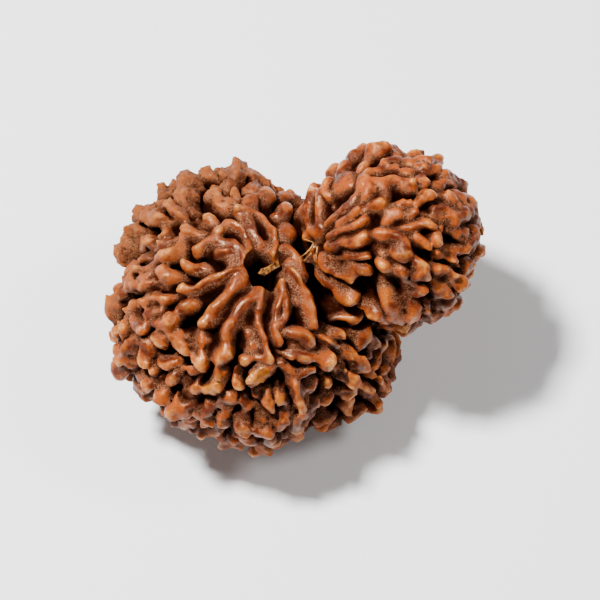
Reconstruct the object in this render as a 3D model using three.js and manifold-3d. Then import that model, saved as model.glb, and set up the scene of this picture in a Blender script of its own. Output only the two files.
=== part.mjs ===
// A rudraksha seed with a smaller bead grown onto its shoulder: one stony, deeply ridged body.
// Millimetres, +Z up. The seed lies on its big bead with the stalk hole facing up, and the
// small bead stands out towards +X. The origin is the flat worn spot that it rests on.
import * as THREE from 'three';
import { edgeTable, triTable } from 'three/addons/objects/MarchingCubes.js';
import Module from 'manifold-3d';

const wasm = await Module();
wasm.setup();

// Driving dimensions. A bead is an oval core that its ridges and nubs grow out of, and crest is
// how far their tops reach. pole points at its stalk end, and bearings turn about the pole from
// the direction zero. Each swell is a bearing, the angle that it spreads over and its share of
// the bead's girth, below zero where the bead is pressed in.
const BIG_BEAD = {
  centre: [0, 0, 11.6],
  crest: [15.0, 15.7, 11.6],
  core: [12.4, 13.1, 8.3],
  pole: [0.174, 0, 0.985],
  zero: [1, 0, 0],
  swells: [[69, 18, -0.24], [254, 15, -0.07], [130, 28, 0.03], [302, 7, -0.11], [172, 7, -0.08]],
};
const SMALL_BEAD = {
  centre: [14.95, 4.15, 19.19],
  crest: [9.5, 9.5, 9.2],
  core: [7.0, 7.0, 6.6],
  pole: [-0.83, -0.2455, 0.5033],
  zero: [0, 0.8988, 0.4384],
  swells: [[20, 30, 0.06]],
};
const SHOULDER = {
  centre: [8.1, -3.7, 7.2],
  crest: [7.9, 7.9, 7.4],
  core: [6.0, 6.0, 5.5],
  pole: [0.55, -0.75, 0.37],
  zero: [0, 0, 1],
  swells: [],
};
const BEADS = [BIG_BEAD, SMALL_BEAD, SHOULDER];

// The stalk holes, cut along the pole of a bead: how far its axis is shifted from the bead's
// centre, the heights along the pole that it narrows between, and its radius at each.
const STALK_HOLES = [
  { bead: BIG_BEAD, shift: [-0.4, -1.0, 0], from: 4.0, to: 11.5, narrow: 1.2, wide: 2.0 },
  { bead: SMALL_BEAD, shift: [0, 0, 0], from: 4.5, to: 10.0, narrow: 0.4, wide: 0.8 },
];

// The section of a ridge: steep sides that end in eaves, and a roof that slopes in to the crest.
// How deep its root lies and how far the eaves lie below the crest. Each section is how much
// wider the eaves are, and how much the crest narrows between its ends, down to a least radius.
const ROOT_DEPTH = 3.4;
const BODY_DROP = 0.4;
const RIDGE_SECTION = [0.22, 0.34];
const NUB_SECTION = [0.1, 0.2];
const LEAST_CREST = 0.58;

// A ridge that starts this near the stalk end keeps this share of the extra width and narrowing,
// and its foot spreads by RIM_WEB into the valleys beside it.
const RIM_POLAR = 22;
const RIM_SHARE = 0.3;
const RIM_WEB = 1.1;

// The run of a ridge: its heel starts low, its nose is raised and swollen and hangs over its
// root, and its crest goes a little up and down on the way.
const NOSE_LENGTH = 1.0;
const NOSE_OVERHANG = 1.5;
const NOSE_SWELL = 0.12;
const NOSE_RAISE = 0.25;
const HEEL_SWELL = 0.6;
const HEEL_DROP = 0.75;
const HEEL_LENGTH = 1.3;
const FULL_RISE_LENGTH = 3;
const CREST_WAVE = 0.08;
const CREST_WAVE_PACE = [0.5, 0.8];
const COLUMN_STEP = 0.4;

// A nub given by one point is drawn out this far each way, at most this many degrees off the
// line away from the stalk end.
const SINGLE_REACH = [0.2, 0.65];
const SINGLE_TURN = 50;
const RIDGE_SEED = 5;

// How far a ridge leans away from the stalk end as it stands up, as a share of its height.
const LEAN = 0.4;

// The plain columns that stand for the ridges where the cover looks for room.
const PLAIN_HALF = 0.58;
const PLAIN_STEP = 0.5;

// The grid that the relief is worked out on, and how softly its lumps run together.
const GRID_LOW = [-17.6, -17.8, -1.6];
const GRID_HIGH = [26.6, 18.2, 31.0];
const CELL = 0.5;
const BLEND = 0.16;
const REACH = 6 * BLEND;
const DEEPEST = 5 * BLEND;
const LEAST_SUM = 1e-6;
const LEAST_LEVEL = 1e-4;
const HOLLOW_FILL = CELL / 2;
const CORNER_FILL = CELL / 10;

// Slow waves that bend the whole relief, so that no nub is a perfect cone.
const WAVES = [
  { height: 0.26, pace: 0.9, from: 1, starts: [1.3, 2.1, 0.2] },
  { height: 0.12, pace: 2.3, from: 2, starts: [0.4, 1.7, 2.9] },
];
const BEND_MOST = 0.4;

// How far the mesh of the skin is thinned out: the count aimed at, the cosine of the most that a
// face may turn in one step, and the least width of a face as a share of its length.
const TRIANGLES = 11700;
const LEAST_TURN = 0.2;
const LEAST_WIDTH = 0.06;
const MOST_DRIFT = 1.5;
const LEAST_DETERMINANT = 1e-3;

// Ridges and nubs, each as crest half-width, lift of the crest above the usual height, then the
// points that the crest runs through, as [bearing, polar angle] in degrees. One point is a nub.
const BIG_RIDGES = [
  // Walls and loops round the stalk hole.
  [0.6, 0.1, [220, 11], [190, 8], [168, 10], [160, 14], [160, 21], [161, 26], [168, 30]],
  [0.9, -0.35, [205, 14], [180, 13], [166, 17]],
  [0.45, 0.0, [172, 15], [173, 20]],
  [0.5, 0.1, [187, 8], [150, 7], [136, 11], [134, 17], [137, 24]],
  [0.5, 0.1, [137, 24], [146, 25], [155, 24]],
  [0.85, -0.15, [112, 6], [118, 9], [123, 17], [113, 24]],
  [0.5, 0.15, [40, 4], [54, 6], [76, 11], [89, 16], [101, 23], [109, 25], [117, 25]],
  [0.38, 0.05, [106, 6], [118, 13], [111, 18], [109, 23]],
  [0.9, -0.3, [80, 5], [89, 8]],
  // Long ridges that run out from the stalk hole towards the front.
  [0.5, 0.15, [211, 12], [204, 17], [202, 24], [200, 31], [198, 39]],
  [0.55, 0.0, [190, 24], [184, 28], [183, 33]],
  [0.95, 0.3, [222, 15], [224, 22], [226, 29], [226, 36]],
  [0.6, 0.1, [226, 38], [232, 45], [238, 52]],
  [0.5, 0.0, [222, 47], [230, 50], [237, 52]],
  [0.7, -0.5, [226, 42], [231, 47]],
  [0.85, 0.2, [253, 14], [247, 21], [244, 28], [243, 34], [244.5, 40], [244.5, 46.5]],
  [0.9, 0.3, [244.5, 45]],
  [0.45, 0.2, [257, 13], [263, 20], [267, 29], [270, 36], [273, 40]],
  [0.42, -0.1, [259, 38], [266, 40], [272, 40]],
  [0.9, -0.45, [255, 24], [259, 31], [264, 36]],
  [0.55, 0.15, [300, 11], [287, 17], [281, 23], [279, 28], [280, 33]],
  [0.5, 0.1, [295, 13], [297, 19], [291, 24], [283, 26]],
  [0.52, 0.3, [338, 11], [325, 16], [318, 24], [312, 33]],
  [0.7, -0.5, [318, 13], [309, 20]],
  [0.7, 0.25, [287, 30], [294, 32], [301, 34], [304, 38]],
  [1.0, 0.55, [291, 40], [297, 44], [303, 47], [308, 49.5]],
  [0.4, -0.3, [280, 37], [284, 39], [288, 41]],
  [0.5, 0.15, [311, 35], [316, 42], [318, 49], [322, 57], [326, 67]],
  [0.55, 0.15, [310, 51], [314, 59], [318, 68]],
  [0.5, -0.2, [320, 41], [324, 47]],
  [0.45, 0.2, [280, 42], [286, 50], [289, 58], [291, 66]],
  [0.42, -0.1, [290, 51], [296, 52]],
  // Teeth, nubs and plates below the ends of the long ridges.
  [0.42, -0.3, [263, 41], [258, 44]],
  [0.36, 0.0, [256, 50], [257, 55], [260, 58]],
  [0.4, -1.25, [258, 52], [264, 52]],
  [0.85, 0.2, [273, 44], [270, 47], [267, 50]],
  [0.4, 0.0, [266, 50], [265, 53]],
  [1.0, 0.2, [248, 58], [248, 65]],
  [0.4, 0.0, [247, 53]],
  [0.55, -0.3, [278, 54], [282, 63]],
  [0.65, -0.35, [275, 57], [277, 65]],
  [0.5, -0.55, [304, 52], [299, 55]],
  [0.45, -0.65, [307, 57], [304, 59]],
  [0.42, -0.65, [300, 57], [307, 65]],
  [0.5, -0.95, [300, 68], [297, 68]],
  [0.6, -0.45, [295, 72], [300, 81]],
  [0.5, -0.45, [285, 67], [285, 76]],
  [0.7, -0.45, [288, 75], [292, 91]],
  [0.8, -0.45, [293, 67], [294, 77], [300, 100]],
  [0.6, -0.95, [266, 65], [271, 69], [276, 75]],
  [1.2, -0.6, [255, 68], [255, 74]],
  [0.6, -0.35, [253, 74], [250, 81]],
  [0.6, -0.35, [258, 68], [261, 70]],
  [0.6, -0.35, [257, 72], [259, 77]],
  [0.7, 0.0, [252, 89]],
  [0.7, 0.0, [259, 84]],
  [0.9, 0.0, [267, 84]],
  [0.9, 0.0, [275, 83]],
  [0.9, 0.0, [270, 95]],
  [0.6, -0.45, [249, 76]],
  // The rim, teeth and long finger of the left side.
  [0.5, 0.15, [198, 40], [199, 44], [196, 50], [193, 56], [193, 68]],
  [0.72, 0.1, [193, 67], [196, 70], [202, 68], [205, 63]],
  [0.9, -0.5, [201, 54], [200, 61]],
  [0.52, 0.1, [205, 60], [209, 54], [217, 51], [226, 51]],
  [0.85, 0.2, [211, 49]],
  [0.7, 0.0, [215, 53], [215, 59]],
  [0.6, 0.0, [192, 77], [200, 77]],
  [0.6, 0.0, [195, 86]],
  [0.58, 0.1, [206, 72], [210, 68], [213, 71], [217, 75]],
  [0.9, 0.7, [208, 70], [208, 87], [208, 99]],
  [0.6, -0.1, [202, 79]],
  [0.6, 0.0, [203, 89]],
  [0.58, -0.35, [227, 62], [223, 69]],
  [0.45, -0.1, [221, 78]],
  [0.7, 0.0, [222, 87]],
  [0.8, 0.0, [229, 86]],
  [0.58, -0.35, [230, 64], [230, 73]],
  [0.6, -0.45, [230, 74], [234, 78], [240, 90]],
  [0.58, -0.45, [241, 71], [241, 79], [241, 88]],
  [1.2, -0.75, [236, 70], [237, 76]],
  [0.5, -0.35, [239, 59], [241, 68]],
  [0.8, 0.0, [237, 92]],
  [0.4, -0.95, [233, 55]],
  [0.75, -0.1, [208, 39]],
  [0.5, -0.4, [203, 42], [207, 44]],
  [1.1, 0.2, [160, 86]],
  [0.7, 0.0, [174, 72]],
  [0.7, 0.0, [170, 62]],
  [0.45, 0.0, [174, 49]],
  [0.45, 0.2, [182, 50], [178, 54], [177, 60]],
  [0.5, 0.0, [182, 55]],
  [0.5, 0.0, [180, 66]],
  [0.6, -0.1, [177, 64]],
  [0.85, 0.1, [188, 40], [186, 43], [184, 46]],
  [0.75, 0.1, [190, 48], [185, 56], [184, 66]],
  [0.8, 0.0, [183, 78], [182, 88], [186, 97]],
  // Teeth and knobs of the far left and the top.
  [1.2, 0.4, [140, 45], [132, 55], [125, 65]],
  [0.9, 0.1, [115, 64]],
  [0.7, 0.0, [144, 59], [134, 74]],
  [0.7, -0.2, [133, 65]],
  [1.2, 0.2, [146, 77]],
  [0.8, 0.1, [148, 67]],
  [0.6, 0.0, [155, 74]],
  [0.5, 0.6, [152, 37], [147, 44], [143, 51]],
  [0.5, 0.1, [150, 44], [151, 55]],
  [0.4, -0.2, [152, 53], [156, 50]],
  [0.45, 0.0, [158, 49], [161, 50]],
  [0.62, 0.1, [162, 41], [167, 51]],
  [0.45, 0.2, [154, 40], [167, 39], [173, 41], [175, 45]],
  [0.6, 0.2, [157, 30], [155, 38]],
  [0.6, -0.6, [144, 39]],
  [0.65, 0.0, [141, 31]],
  [0.5, 0.0, [164, 59]],
  [0.6, 0.0, [149, 60]],
  [0.6, -0.4, [79, 26]],
  [0.8, 0.1, [72, 32]],
  [1.0, -0.6, [82, 27], [72, 21], [62, 14]],
  [0.9, -0.5, [66, 24], [62, 17]],
  [0.6, -0.2, [45, 9], [22, 13], [2, 15]],
  [0.8, -0.4, [359, 11], [350, 16]],
  [0.7, -0.6, [30, 12], [10, 16]],
  [0.6, 0.0, [108, 57]],
  [0.8, 0.1, [103, 53]],
  [0.95, 0.2, [94, 54]],
  [0.75, 0.0, [97, 42]],
  [1.05, 0.2, [89, 37]],
  [0.85, 0.1, [101, 30]],
  [0.6, -0.2, [120, 38]],
  [1.1, -0.8, [118, 34]],
  [0.5, -0.3, [119, 34]],
  [0.5, -0.3, [123, 36]],
  [0.45, -0.3, [115, 33]],
  [0.5, -0.2, [110, 35]],
];
const SMALL_RIDGES = [
  // Petals that open out from the stalk end.
  [0.4, 1.3, [46, 43], [62, 38], [76, 36], [92, 33]],
  [0.5, 0.7, [88, 20], [70, 31], [52, 38], [38, 42]],
  [0.7, 0.2, [106, 28], [90, 34]],
  [0.62, 0.35, [80, 11], [68, 24], [56, 34], [48, 41]],
  [0.85, 0.1, [56, 9], [30, 20], [23, 35]],
  [0.5, 0.25, [354, 22], [8, 29], [10, 38]],
  [0.62, 0.15, [345, 8], [327, 15], [324, 27], [325, 41], [327, 51]],
  [0.58, 0.25, [303, 18], [304, 26], [306, 34]],
  [0.66, 0.15, [280, 7], [288, 19], [291, 37]],
  [0.78, 0.2, [225, 8], [259, 20], [270, 36]],
  [0.42, -0.15, [205, 13], [242, 28], [248, 39]],
  [0.5, 0.1, [151, 14], [196, 21], [210, 35]],
  [0.95, -0.2, [175, 14], [213, 24], [222, 36]],
  [0.6, 0.0, [230, 28], [230, 40]],
  [0.78, 0.1, [135, 24], [177, 32], [188, 44]],
  [0.6, 0.0, [112, 15], [119, 30]],
  // Teeth, knobs and plates of the side that faces the front.
  [0.78, 0.25, [275, 47], [275, 57], [270, 64], [262, 62], [259, 59]],
  [0.58, 0.15, [277, 55], [280, 66], [280, 75], [278, 82]],
  [0.58, 0.1, [277, 68], [272, 72], [266, 78]],
  [0.58, 0.1, [278, 89], [273, 87], [269, 85]],
  [0.6, 0.1, [276, 93], [277, 102], [272, 110], [265, 116]],
  [0.5, 0.0, [266, 80], [260, 90], [260, 102], [262, 112]],
  [0.55, 0.1, [254, 59], [250, 64], [245, 62], [244, 55], [247, 48]],
  [0.7, -0.5, [248, 55], [250, 58]],
  [0.75, 0.2, [245, 59], [245.5, 63]],
  [0.92, 0.3, [258, 66], [252, 71], [245, 75]],
  [0.6, 0.1, [238, 57], [239, 66], [231, 79]],
  [0.52, 0.1, [248, 81], [246, 96], [242, 110]],
  [0.4, 0.0, [242, 110], [250, 110], [256, 98]],
  [0.5, 0.0, [243, 93], [240, 106]],
  [0.6, 0.1, [238, 84], [233, 98]],
  [0.95, 0.1, [224, 62], [214, 70], [206, 77]],
  [0.8, 0.0, [226, 75], [219, 80], [212, 86]],
  [0.5, 0.0, [225, 88], [214, 96], [206, 104]],
  [0.6, 0.1, [229, 98], [216, 106], [206, 114]],
  [0.6, 0.0, [232, 108], [223, 106]],
  [0.8, 0.0, [229, 117], [212, 119]],
  // Knobs and ridges between the petals and the upper rim.
  [0.6, 0.1, [301, 38], [302, 44], [303, 50]],
  [0.6, 0.1, [315, 34], [316, 43], [318, 48]],
  [0.45, 0.0, [330, 41], [332, 51]],
  [1.2, -0.1, [353, 42]],
  [0.6, 0.1, [9, 39], [3, 46], [6, 52]],
  [0.8, 0.5, [26, 54]],
  [0.7, 0.2, [39, 46]],
  [0.5, -0.1, [16, 65]],
  [0.7, 0.0, [12, 71]],
  [0.7, 0.1, [10, 62]],
  [0.5, 0.0, [347, 56]],
  [0.65, 0.7, [354, 73]],
  [0.7, 0.2, [338, 72]],
  [0.6, 0.1, [332, 54]],
  [0.55, 0.1, [332, 59]],
  [0.6, 0.1, [331, 65]],
  [0.55, 0.0, [330, 70]],
  [0.6, 0.0, [332, 82]],
  [0.7, 0.0, [324, 89]],
  [0.6, 0.0, [333, 96]],
  [0.6, 0.0, [322, 78]],
  [0.7, 0.1, [321, 96], [323, 104]],
  [0.9, 0.1, [316, 108]],
  [0.75, 0.1, [310, 98], [311, 110]],
  [0.8, 0.0, [300, 112]],
  [0.8, 0.0, [300, 121]],
  [0.6, 0.0, [292, 115]],
  [0.7, 0.1, [295, 128]],
  [0.8, 0.1, [287, 129]],
  [0.85, 0.1, [316, 64]],
  [0.75, 0.1, [318, 57]],
  [0.85, 0.1, [311, 73]],
  [0.7, -0.1, [308, 56]],
  [0.65, 0.0, [311, 85]],
  [0.55, 0.3, [295, 75], [299, 82]],
  [0.5, 0.0, [298, 57], [297, 67]],
  [0.5, 0.0, [295, 73]],
  [0.6, 0.0, [289, 67]],
  [0.5, 0.0, [294, 53], [289, 60]],
  [0.6, -0.1, [287, 55]],
  [0.6, 0.1, [287, 75], [284, 85], [285, 96], [285, 109]],
  [0.5, 0.1, [296, 87], [295, 100], [288, 110]],
  [1.1, -0.4, [290, 92]],
  [0.5, 0.0, [301, 89], [298, 101]],
  [0.6, 0.0, [282, 89], [283, 99]],
  // Nubs of the far right rim.
  [0.9, 0.1, [271, 119]],
  [0.9, 0.1, [251, 119]],
  [0.8, 0.0, [240, 117]],
  [0.85, 0.5, [206, 103]],
  [0.75, 0.1, [190, 91]],
];
const SHOULDER_RIDGES = [
  // Crests that run in from the big bead, and the net of low ridges round them.
  [0.58, 0.2, [15, 17], [15, 1]],
  [0.6, 0.2, [203, 1], [203, 19]],
  [0.48, 0.1, [356, 33], [338, 23], [311, 19], [299, 25], [306, 34], [303, 43]],
  [0.42, 0.0, [336, 37], [338, 23]],
  [0.4, -0.1, [328, 42], [323, 31]],
  [0.42, 0.0, [335, 53], [344, 47], [356, 33]],
  [0.5, 0.0, [302, 52], [290, 50], [281, 40], [264, 35], [245, 40]],
  [0.48, 0.1, [322, 14], [266, 14], [234, 28], [240, 33], [269, 26]],
  [0.85, 0.0, [77, 16], [124, 22]],
  [0.7, 0.0, [150, 26]],
  [0.95, 0.2, [192, 36]],
  [0.6, 0.0, [222, 43]],
];

// Low feet under the seed, as [x, y, top radius]: the ground plane cuts each to a flat spot.
const FEET = [
  [0, 0, 2.2],
  [-3.9, 4.1, 1.0],
  [-4.1, -4.0, 1.0],
  [6.0, 4.9, 1.0],
  [9.6, -3.6, 1.3],
];
const FOOT_ROOT = 4.5;
const FOOT_INSET = 0.85;
const FOOT_LIFT = 0.45;
const FOOT_FLARE = 0.2;
const GROUND = { width: 80, depth: 5 };

// Rules for the nubs that cover the rest of each bead, in rings from one polar angle to another:
// how far apart they stand, and between which half-widths and lifts each is drawn.
const BIG_COVER = {
  seed: 71, from: 34, to: 176, spacing: 3.1, half: [0.65, 1.15], lift: [-0.3, 0.35],
};
const SMALL_COVER = {
  seed: 23, from: 44, to: 172, spacing: 2.8, half: [0.6, 1.05], lift: [-0.25, 0.3],
};
const SHOULDER_COVER = {
  seed: 47, from: 6, to: 130, spacing: 2.6, half: [0.65, 0.9], lift: [-0.2, 0.2],
};
const LEAST_IN_RING = 3;

// How far a covering nub strays from its place, as a share of the spacing, how long it is, and how
// far it turns off the line away from the stalk end, in radians. It is left out where it would
// overlap a ridge by more than COVER_OVERLAP, and stays low where the gap is below CROWDED_GAP.
const JITTER = 0.26;
const COVER_LENGTH = [0.3, 2.5];
const COVER_TURN = 0.8;
const COVER_OVERLAP = 0.15;
const CROWDED_GAP = 0.7;
const CROWDED_LIFT = -0.7;
const COVER_SHRINK = 0.82;

const DEGREE = Math.PI / 180;

// Repeatable draws between 0 and 1.
const DRAW_STEP = 16807;
const DRAW_RANGE = 2147483647;
function makeDraw(seed) {
  let state = seed;
  return () => {
    state = (state * DRAW_STEP) % DRAW_RANGE;
    return state / DRAW_RANGE;
  };
}

function between([low, high], share) {
  return low + (high - low) * share;
}

// The frame of a bead: z along its pole, x towards its zero bearing.
function beadFrame(bead) {
  const z = new THREE.Vector3(...bead.pole).normalize();
  const x = new THREE.Vector3(...bead.zero);
  x.addScaledVector(z, -x.dot(z)).normalize();
  const y = new THREE.Vector3().crossVectors(z, x);
  return new THREE.Matrix4().makeBasis(x, y, z).setPosition(...bead.centre);
}

// A bead's girth at a bearing, as a share of the oval's own.
function girth(bead, bearing, ringShare) {
  let share = 1;
  for (const [middle, spread, amount] of bead.swells) {
    const turn = THREE.MathUtils.euclideanModulo(bearing - middle + 180, 360) - 180;
    share += amount * Math.exp(-((turn / spread) ** 2)) * ringShare * ringShare;
  }
  return share;
}

// The point at crest height on a bead, and the direction that a nub stands in there.
function crestPoint(bead, bearing, polar) {
  const [sx, sy, sz] = bead.crest;
  const ring = Math.sin(polar * DEGREE);
  const unit = [
    ring * Math.cos(bearing * DEGREE),
    ring * Math.sin(bearing * DEGREE),
    Math.cos(polar * DEGREE),
  ];
  const frame = beadFrame(bead);
  const wide = girth(bead, bearing, ring);
  const point = new THREE.Vector3(sx * unit[0] * wide, sy * unit[1] * wide, sz * unit[2]);
  point.applyMatrix4(frame);
  const outward = new THREE.Vector3(unit[0] / sx, unit[1] / sy, unit[2] / sz).normalize();
  const downward = new THREE.Vector3(0, 0, -1).addScaledVector(outward, outward.z);
  outward.addScaledVector(downward, LEAN).transformDirection(frame);
  return { point, outward };
}

// Places along a ridge's crest, each with its distance from both ends of the crest.
function ridgePlaces(bead, path, stepLength) {
  const places = [{ place: path[0], behind: 0 }];
  let length = 0;
  for (let i = 1; i < path.length; i += 1) {
    const start = crestPoint(bead, ...path[i - 1]).point;
    const gap = start.distanceTo(crestPoint(bead, ...path[i]).point);
    const steps = Math.ceil(gap / stepLength);
    for (let step = 1; step <= steps; step += 1) {
      length += gap / steps;
      places.push({
        place: path[i].map((value, axis) => between([path[i - 1][axis], value], step / steps)),
        behind: length,
      });
    }
  }
  return places.map(({ place, behind }) => ({ place, behind, ahead: length - behind }));
}

// A ridge as plain columns: the tops and radii that the cover keeps clear of.
function plainColumns(bead, [narrow, lift, ...path]) {
  const half = Math.max(narrow, PLAIN_HALF);
  return ridgePlaces(bead, path, PLAIN_STEP).map(({ place }) => {
    const { point, outward } = crestPoint(bead, ...place);
    return { top: point.addScaledVector(outward, lift - half), topRadius: half };
  });
}

// A nub's one point, drawn out into a short path that heads roughly away from the stalk end.
function drawnOut(bead, [bearing, polar], draw) {
  const turn = SINGLE_TURN * DEGREE * (2 * draw() - 1);
  const reach = between(SINGLE_REACH, draw()) / bead.crest[0] / DEGREE;
  const across = (reach * Math.sin(turn)) / Math.sin(polar * DEGREE);
  const down = reach * Math.cos(turn);
  return [[bearing - across, polar - down], [bearing + across, polar + down]];
}

// A ridge as two rows of columns: the body up to the eaves, and the roof up to the crest.
function ridgeColumns(bead, [half, lift, ...points], draw, [fullExtra, fullNarrow]) {
  const path = points.length === 1 ? drawnOut(bead, points[0], draw) : points;
  const nearRim = path[0][1] < RIM_POLAR;
  const share = nearRim ? RIM_SHARE : 1;
  const [extra, narrow] = [fullExtra * share, fullNarrow * share];
  const phase = 2 * Math.PI * draw();
  const pace = between(CREST_WAVE_PACE, draw());
  const places = ridgePlaces(bead, path, COLUMN_STEP);
  const crest = places.map(({ place }) => crestPoint(bead, ...place));
  return places.flatMap(({ behind, ahead }, i) => {
    const { point, outward } = crest[i];
    const before = crest[Math.max(i - 1, 0)].point;
    const after = crest[Math.min(i + 1, crest.length - 1)].point;
    const onward = after.clone().sub(before).normalize();
    const nose = Math.exp(-((ahead / NOSE_LENGTH) ** 2));
    const heel = Math.exp(-((behind / NOSE_LENGTH) ** 2));
    const full = Math.max(nose, HEEL_SWELL * heel);
    const topRadius = Math.max(half * (1 + NOSE_SWELL * full) - narrow * (1 - full), LEAST_CREST);
    const rise = nearRim ? 0 : Math.min(1, (behind + ahead) / FULL_RISE_LENGTH);
    const web = nearRim ? RIM_WEB * (1 - nose) : 0;
    const wave = CREST_WAVE * (1 - full) * (1 + Math.sin(phase + 2 * Math.PI * pace * behind));
    const drop = HEEL_DROP * rise * Math.exp(-((behind / HEEL_LENGTH) ** 2)) * (1 - nose);
    const high = lift - wave + NOSE_RAISE * nose * rise - drop;
    const wide = Math.max(half, topRadius) + extra * (1 - nose);
    const root = point.clone().addScaledVector(outward, -ROOT_DEPTH);
    root.addScaledVector(onward, -NOSE_OVERHANG * nose);
    const eaves = point.clone().addScaledVector(outward, high - wide - BODY_DROP);
    const top = point.clone().addScaledVector(outward, high - topRadius);
    return [
      { root, top: eaves, rootRadius: wide + web, topRadius: wide },
      { root: eaves, top, rootRadius: wide, topRadius },
    ];
  });
}

// How high a point lies in a bead: below 1 inside its core, and above 1 outside it.
function coreLevel(bead, point) {
  const local = point.clone().applyMatrix4(beadFrame(bead).invert());
  local.divide(new THREE.Vector3(...bead.core));
  const ringShare = Math.hypot(local.x, local.y) / local.length();
  const wide = girth(bead, Math.atan2(local.y, local.x) / DEGREE, ringShare);
  return Math.hypot(local.x / wide, local.y / wide, local.z);
}

// Nubs in staggered rings round the pole, wherever the ridges above leave room. Beside a ridge
// they stay low.
function coverNubs(bead, cover, placed) {
  const draw = makeDraw(cover.seed);
  const others = BEADS.filter((other) => other !== bead);
  const size = bead.crest[0];
  const nubs = [];
  const ringStep = cover.spacing / size / DEGREE;
  for (let ring = cover.from; ring <= cover.to; ring += ringStep) {
    const lengthRound = 2 * Math.PI * size * Math.sin(ring * DEGREE);
    const around = Math.max(LEAST_IN_RING, Math.round(lengthRound / cover.spacing));
    const turn = draw();
    for (let i = 0; i < around; i += 1) {
      const bearing = ((i + turn + JITTER * (2 * draw() - 1)) / around) * 360;
      const polar = ring + ringStep * JITTER * (2 * draw() - 1);
      const half = between(cover.half, draw());
      const lift = between(cover.lift, draw());
      const length = between(COVER_LENGTH, draw()) / size / DEGREE / 2;
      const heading = COVER_TURN * (2 * draw() - 1);
      const down = length * Math.cos(heading);
      const across = (length * Math.sin(heading)) / Math.sin(ring * DEGREE);
      const { point } = crestPoint(bead, bearing, polar);
      const gaps = placed.map(({ top, topRadius }) => top.distanceTo(point) - topRadius - half);
      const gap = Math.min(...gaps);
      const buried = others.some((other) => coreLevel(other, point) < 1);
      if (gap > -COVER_OVERLAP && !buried) {
        const low = gap < CROWDED_GAP ? CROWDED_LIFT : lift;
        const path = [[bearing - across, polar - down], [bearing + across, polar + down]];
        nubs.push([half * COVER_SHRINK, low, ...path]);
      }
    }
  }
  return nubs;
}

function footColumn([x, y, radius]) {
  return {
    root: new THREE.Vector3(x * FOOT_INSET, y * FOOT_INSET, FOOT_ROOT),
    top: new THREE.Vector3(x, y, FOOT_LIFT * radius),
    rootRadius: radius + FOOT_FLARE,
    topRadius: radius,
  };
}

function allColumns() {
  const draw = makeDraw(RIDGE_SEED);
  const feet = FEET.map(footColumn);
  const sets = [[BIG_BEAD, BIG_RIDGES], [SMALL_BEAD, SMALL_RIDGES], [SHOULDER, SHOULDER_RIDGES]];
  const covers = [[BIG_BEAD, BIG_COVER], [SMALL_BEAD, SMALL_COVER], [SHOULDER, SHOULDER_COVER]];
  const plain = sets.flatMap(([bead, ridges]) => ridges.flatMap((ridge) => plainColumns(bead, ridge)));
  const placed = [...plain, ...feet];
  const ridges = sets.flatMap(([bead, set]) =>
    set.flatMap((ridge) => ridgeColumns(bead, ridge, draw, RIDGE_SECTION)));
  const nubs = covers.flatMap(([bead, cover]) =>
    coverNubs(bead, cover, placed).flatMap((nub) => ridgeColumns(bead, nub, draw, NUB_SECTION)));
  return [...feet, ...ridges, ...nubs];
}

function bend(place) {
  return place.map((value, axis) => value + WAVES.reduce((sum, { height, pace, from, starts }) =>
    sum + height * Math.sin(pace * place[(axis + from) % 3] + starts[axis]), 0));
}

// The relief is a sum over the grid: each lump adds exp(-distance / BLEND), and the skin lies
// where the sum is 1.
function makeGrid() {
  const counts = GRID_LOW.map((low, axis) => Math.ceil((GRID_HIGH[axis] - low) / CELL) + 1);
  const size = counts[0] * counts[1] * counts[2];
  const grid = { counts, sum: new Float64Array(size), bent: new Float64Array(3 * size) };
  let sample = 0;
  for (let k = 0; k < counts[2]; k += 1) {
    for (let j = 0; j < counts[1]; j += 1) {
      for (let i = 0; i < counts[0]; i += 1) {
        const place = [i, j, k].map((index, axis) => GRID_LOW[axis] + index * CELL);
        grid.bent.set(bend(place), 3 * sample);
        sample += 1;
      }
    }
  }
  return grid;
}

// Adds exp(-distance / BLEND) at the samples in a box round the lump.
function addLump(grid, low, high, distance) {
  const { counts, sum, bent } = grid;
  const first = low.map((value, axis) =>
    Math.max(0, Math.ceil((value - GRID_LOW[axis]) / CELL)));
  const last = high.map((value, axis) =>
    Math.min(counts[axis] - 1, Math.floor((value - GRID_LOW[axis]) / CELL)));
  for (let k = first[2]; k <= last[2]; k += 1) {
    for (let j = first[1]; j <= last[1]; j += 1) {
      for (let i = first[0]; i <= last[0]; i += 1) {
        const sample = i + counts[0] * (j + counts[1] * k);
        const d = distance(bent[3 * sample], bent[3 * sample + 1], bent[3 * sample + 2]);
        sum[sample] += Math.exp(-Math.max(d, -DEEPEST) / BLEND);
      }
    }
  }
}

function addCore(grid, bead) {
  const [m0, m1, m2, , m4, m5, m6, , m8, m9, m10] = beadFrame(bead).elements;
  const [cx, cy, cz] = bead.centre;
  const [a, b, c] = bead.core;
  const margin = Math.max(a, b, c) + REACH + BEND_MOST;
  const distance = (x, y, z) => {
    const [dx, dy, dz] = [x - cx, y - cy, z - cz];
    let u = (dx * m0 + dy * m1 + dz * m2) / a;
    let v = (dx * m4 + dy * m5 + dz * m6) / b;
    const w = (dx * m8 + dy * m9 + dz * m10) / c;
    const bearing = Math.atan2(v, u) / DEGREE;
    const ringShare = Math.hypot(u, v) / Math.max(Math.hypot(u, v, w), LEAST_LEVEL);
    const wide = girth(bead, bearing, ringShare);
    u /= wide;
    v /= wide;
    const level = Math.hypot(u, v, w);
    const slope = Math.hypot(u / a, v / b, w / c);
    return slope > 0 ? (level * (level - 1)) / slope : -Math.min(a, b, c);
  };
  addLump(grid, bead.centre.map((v) => v - margin), bead.centre.map((v) => v + margin), distance);
}

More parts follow.
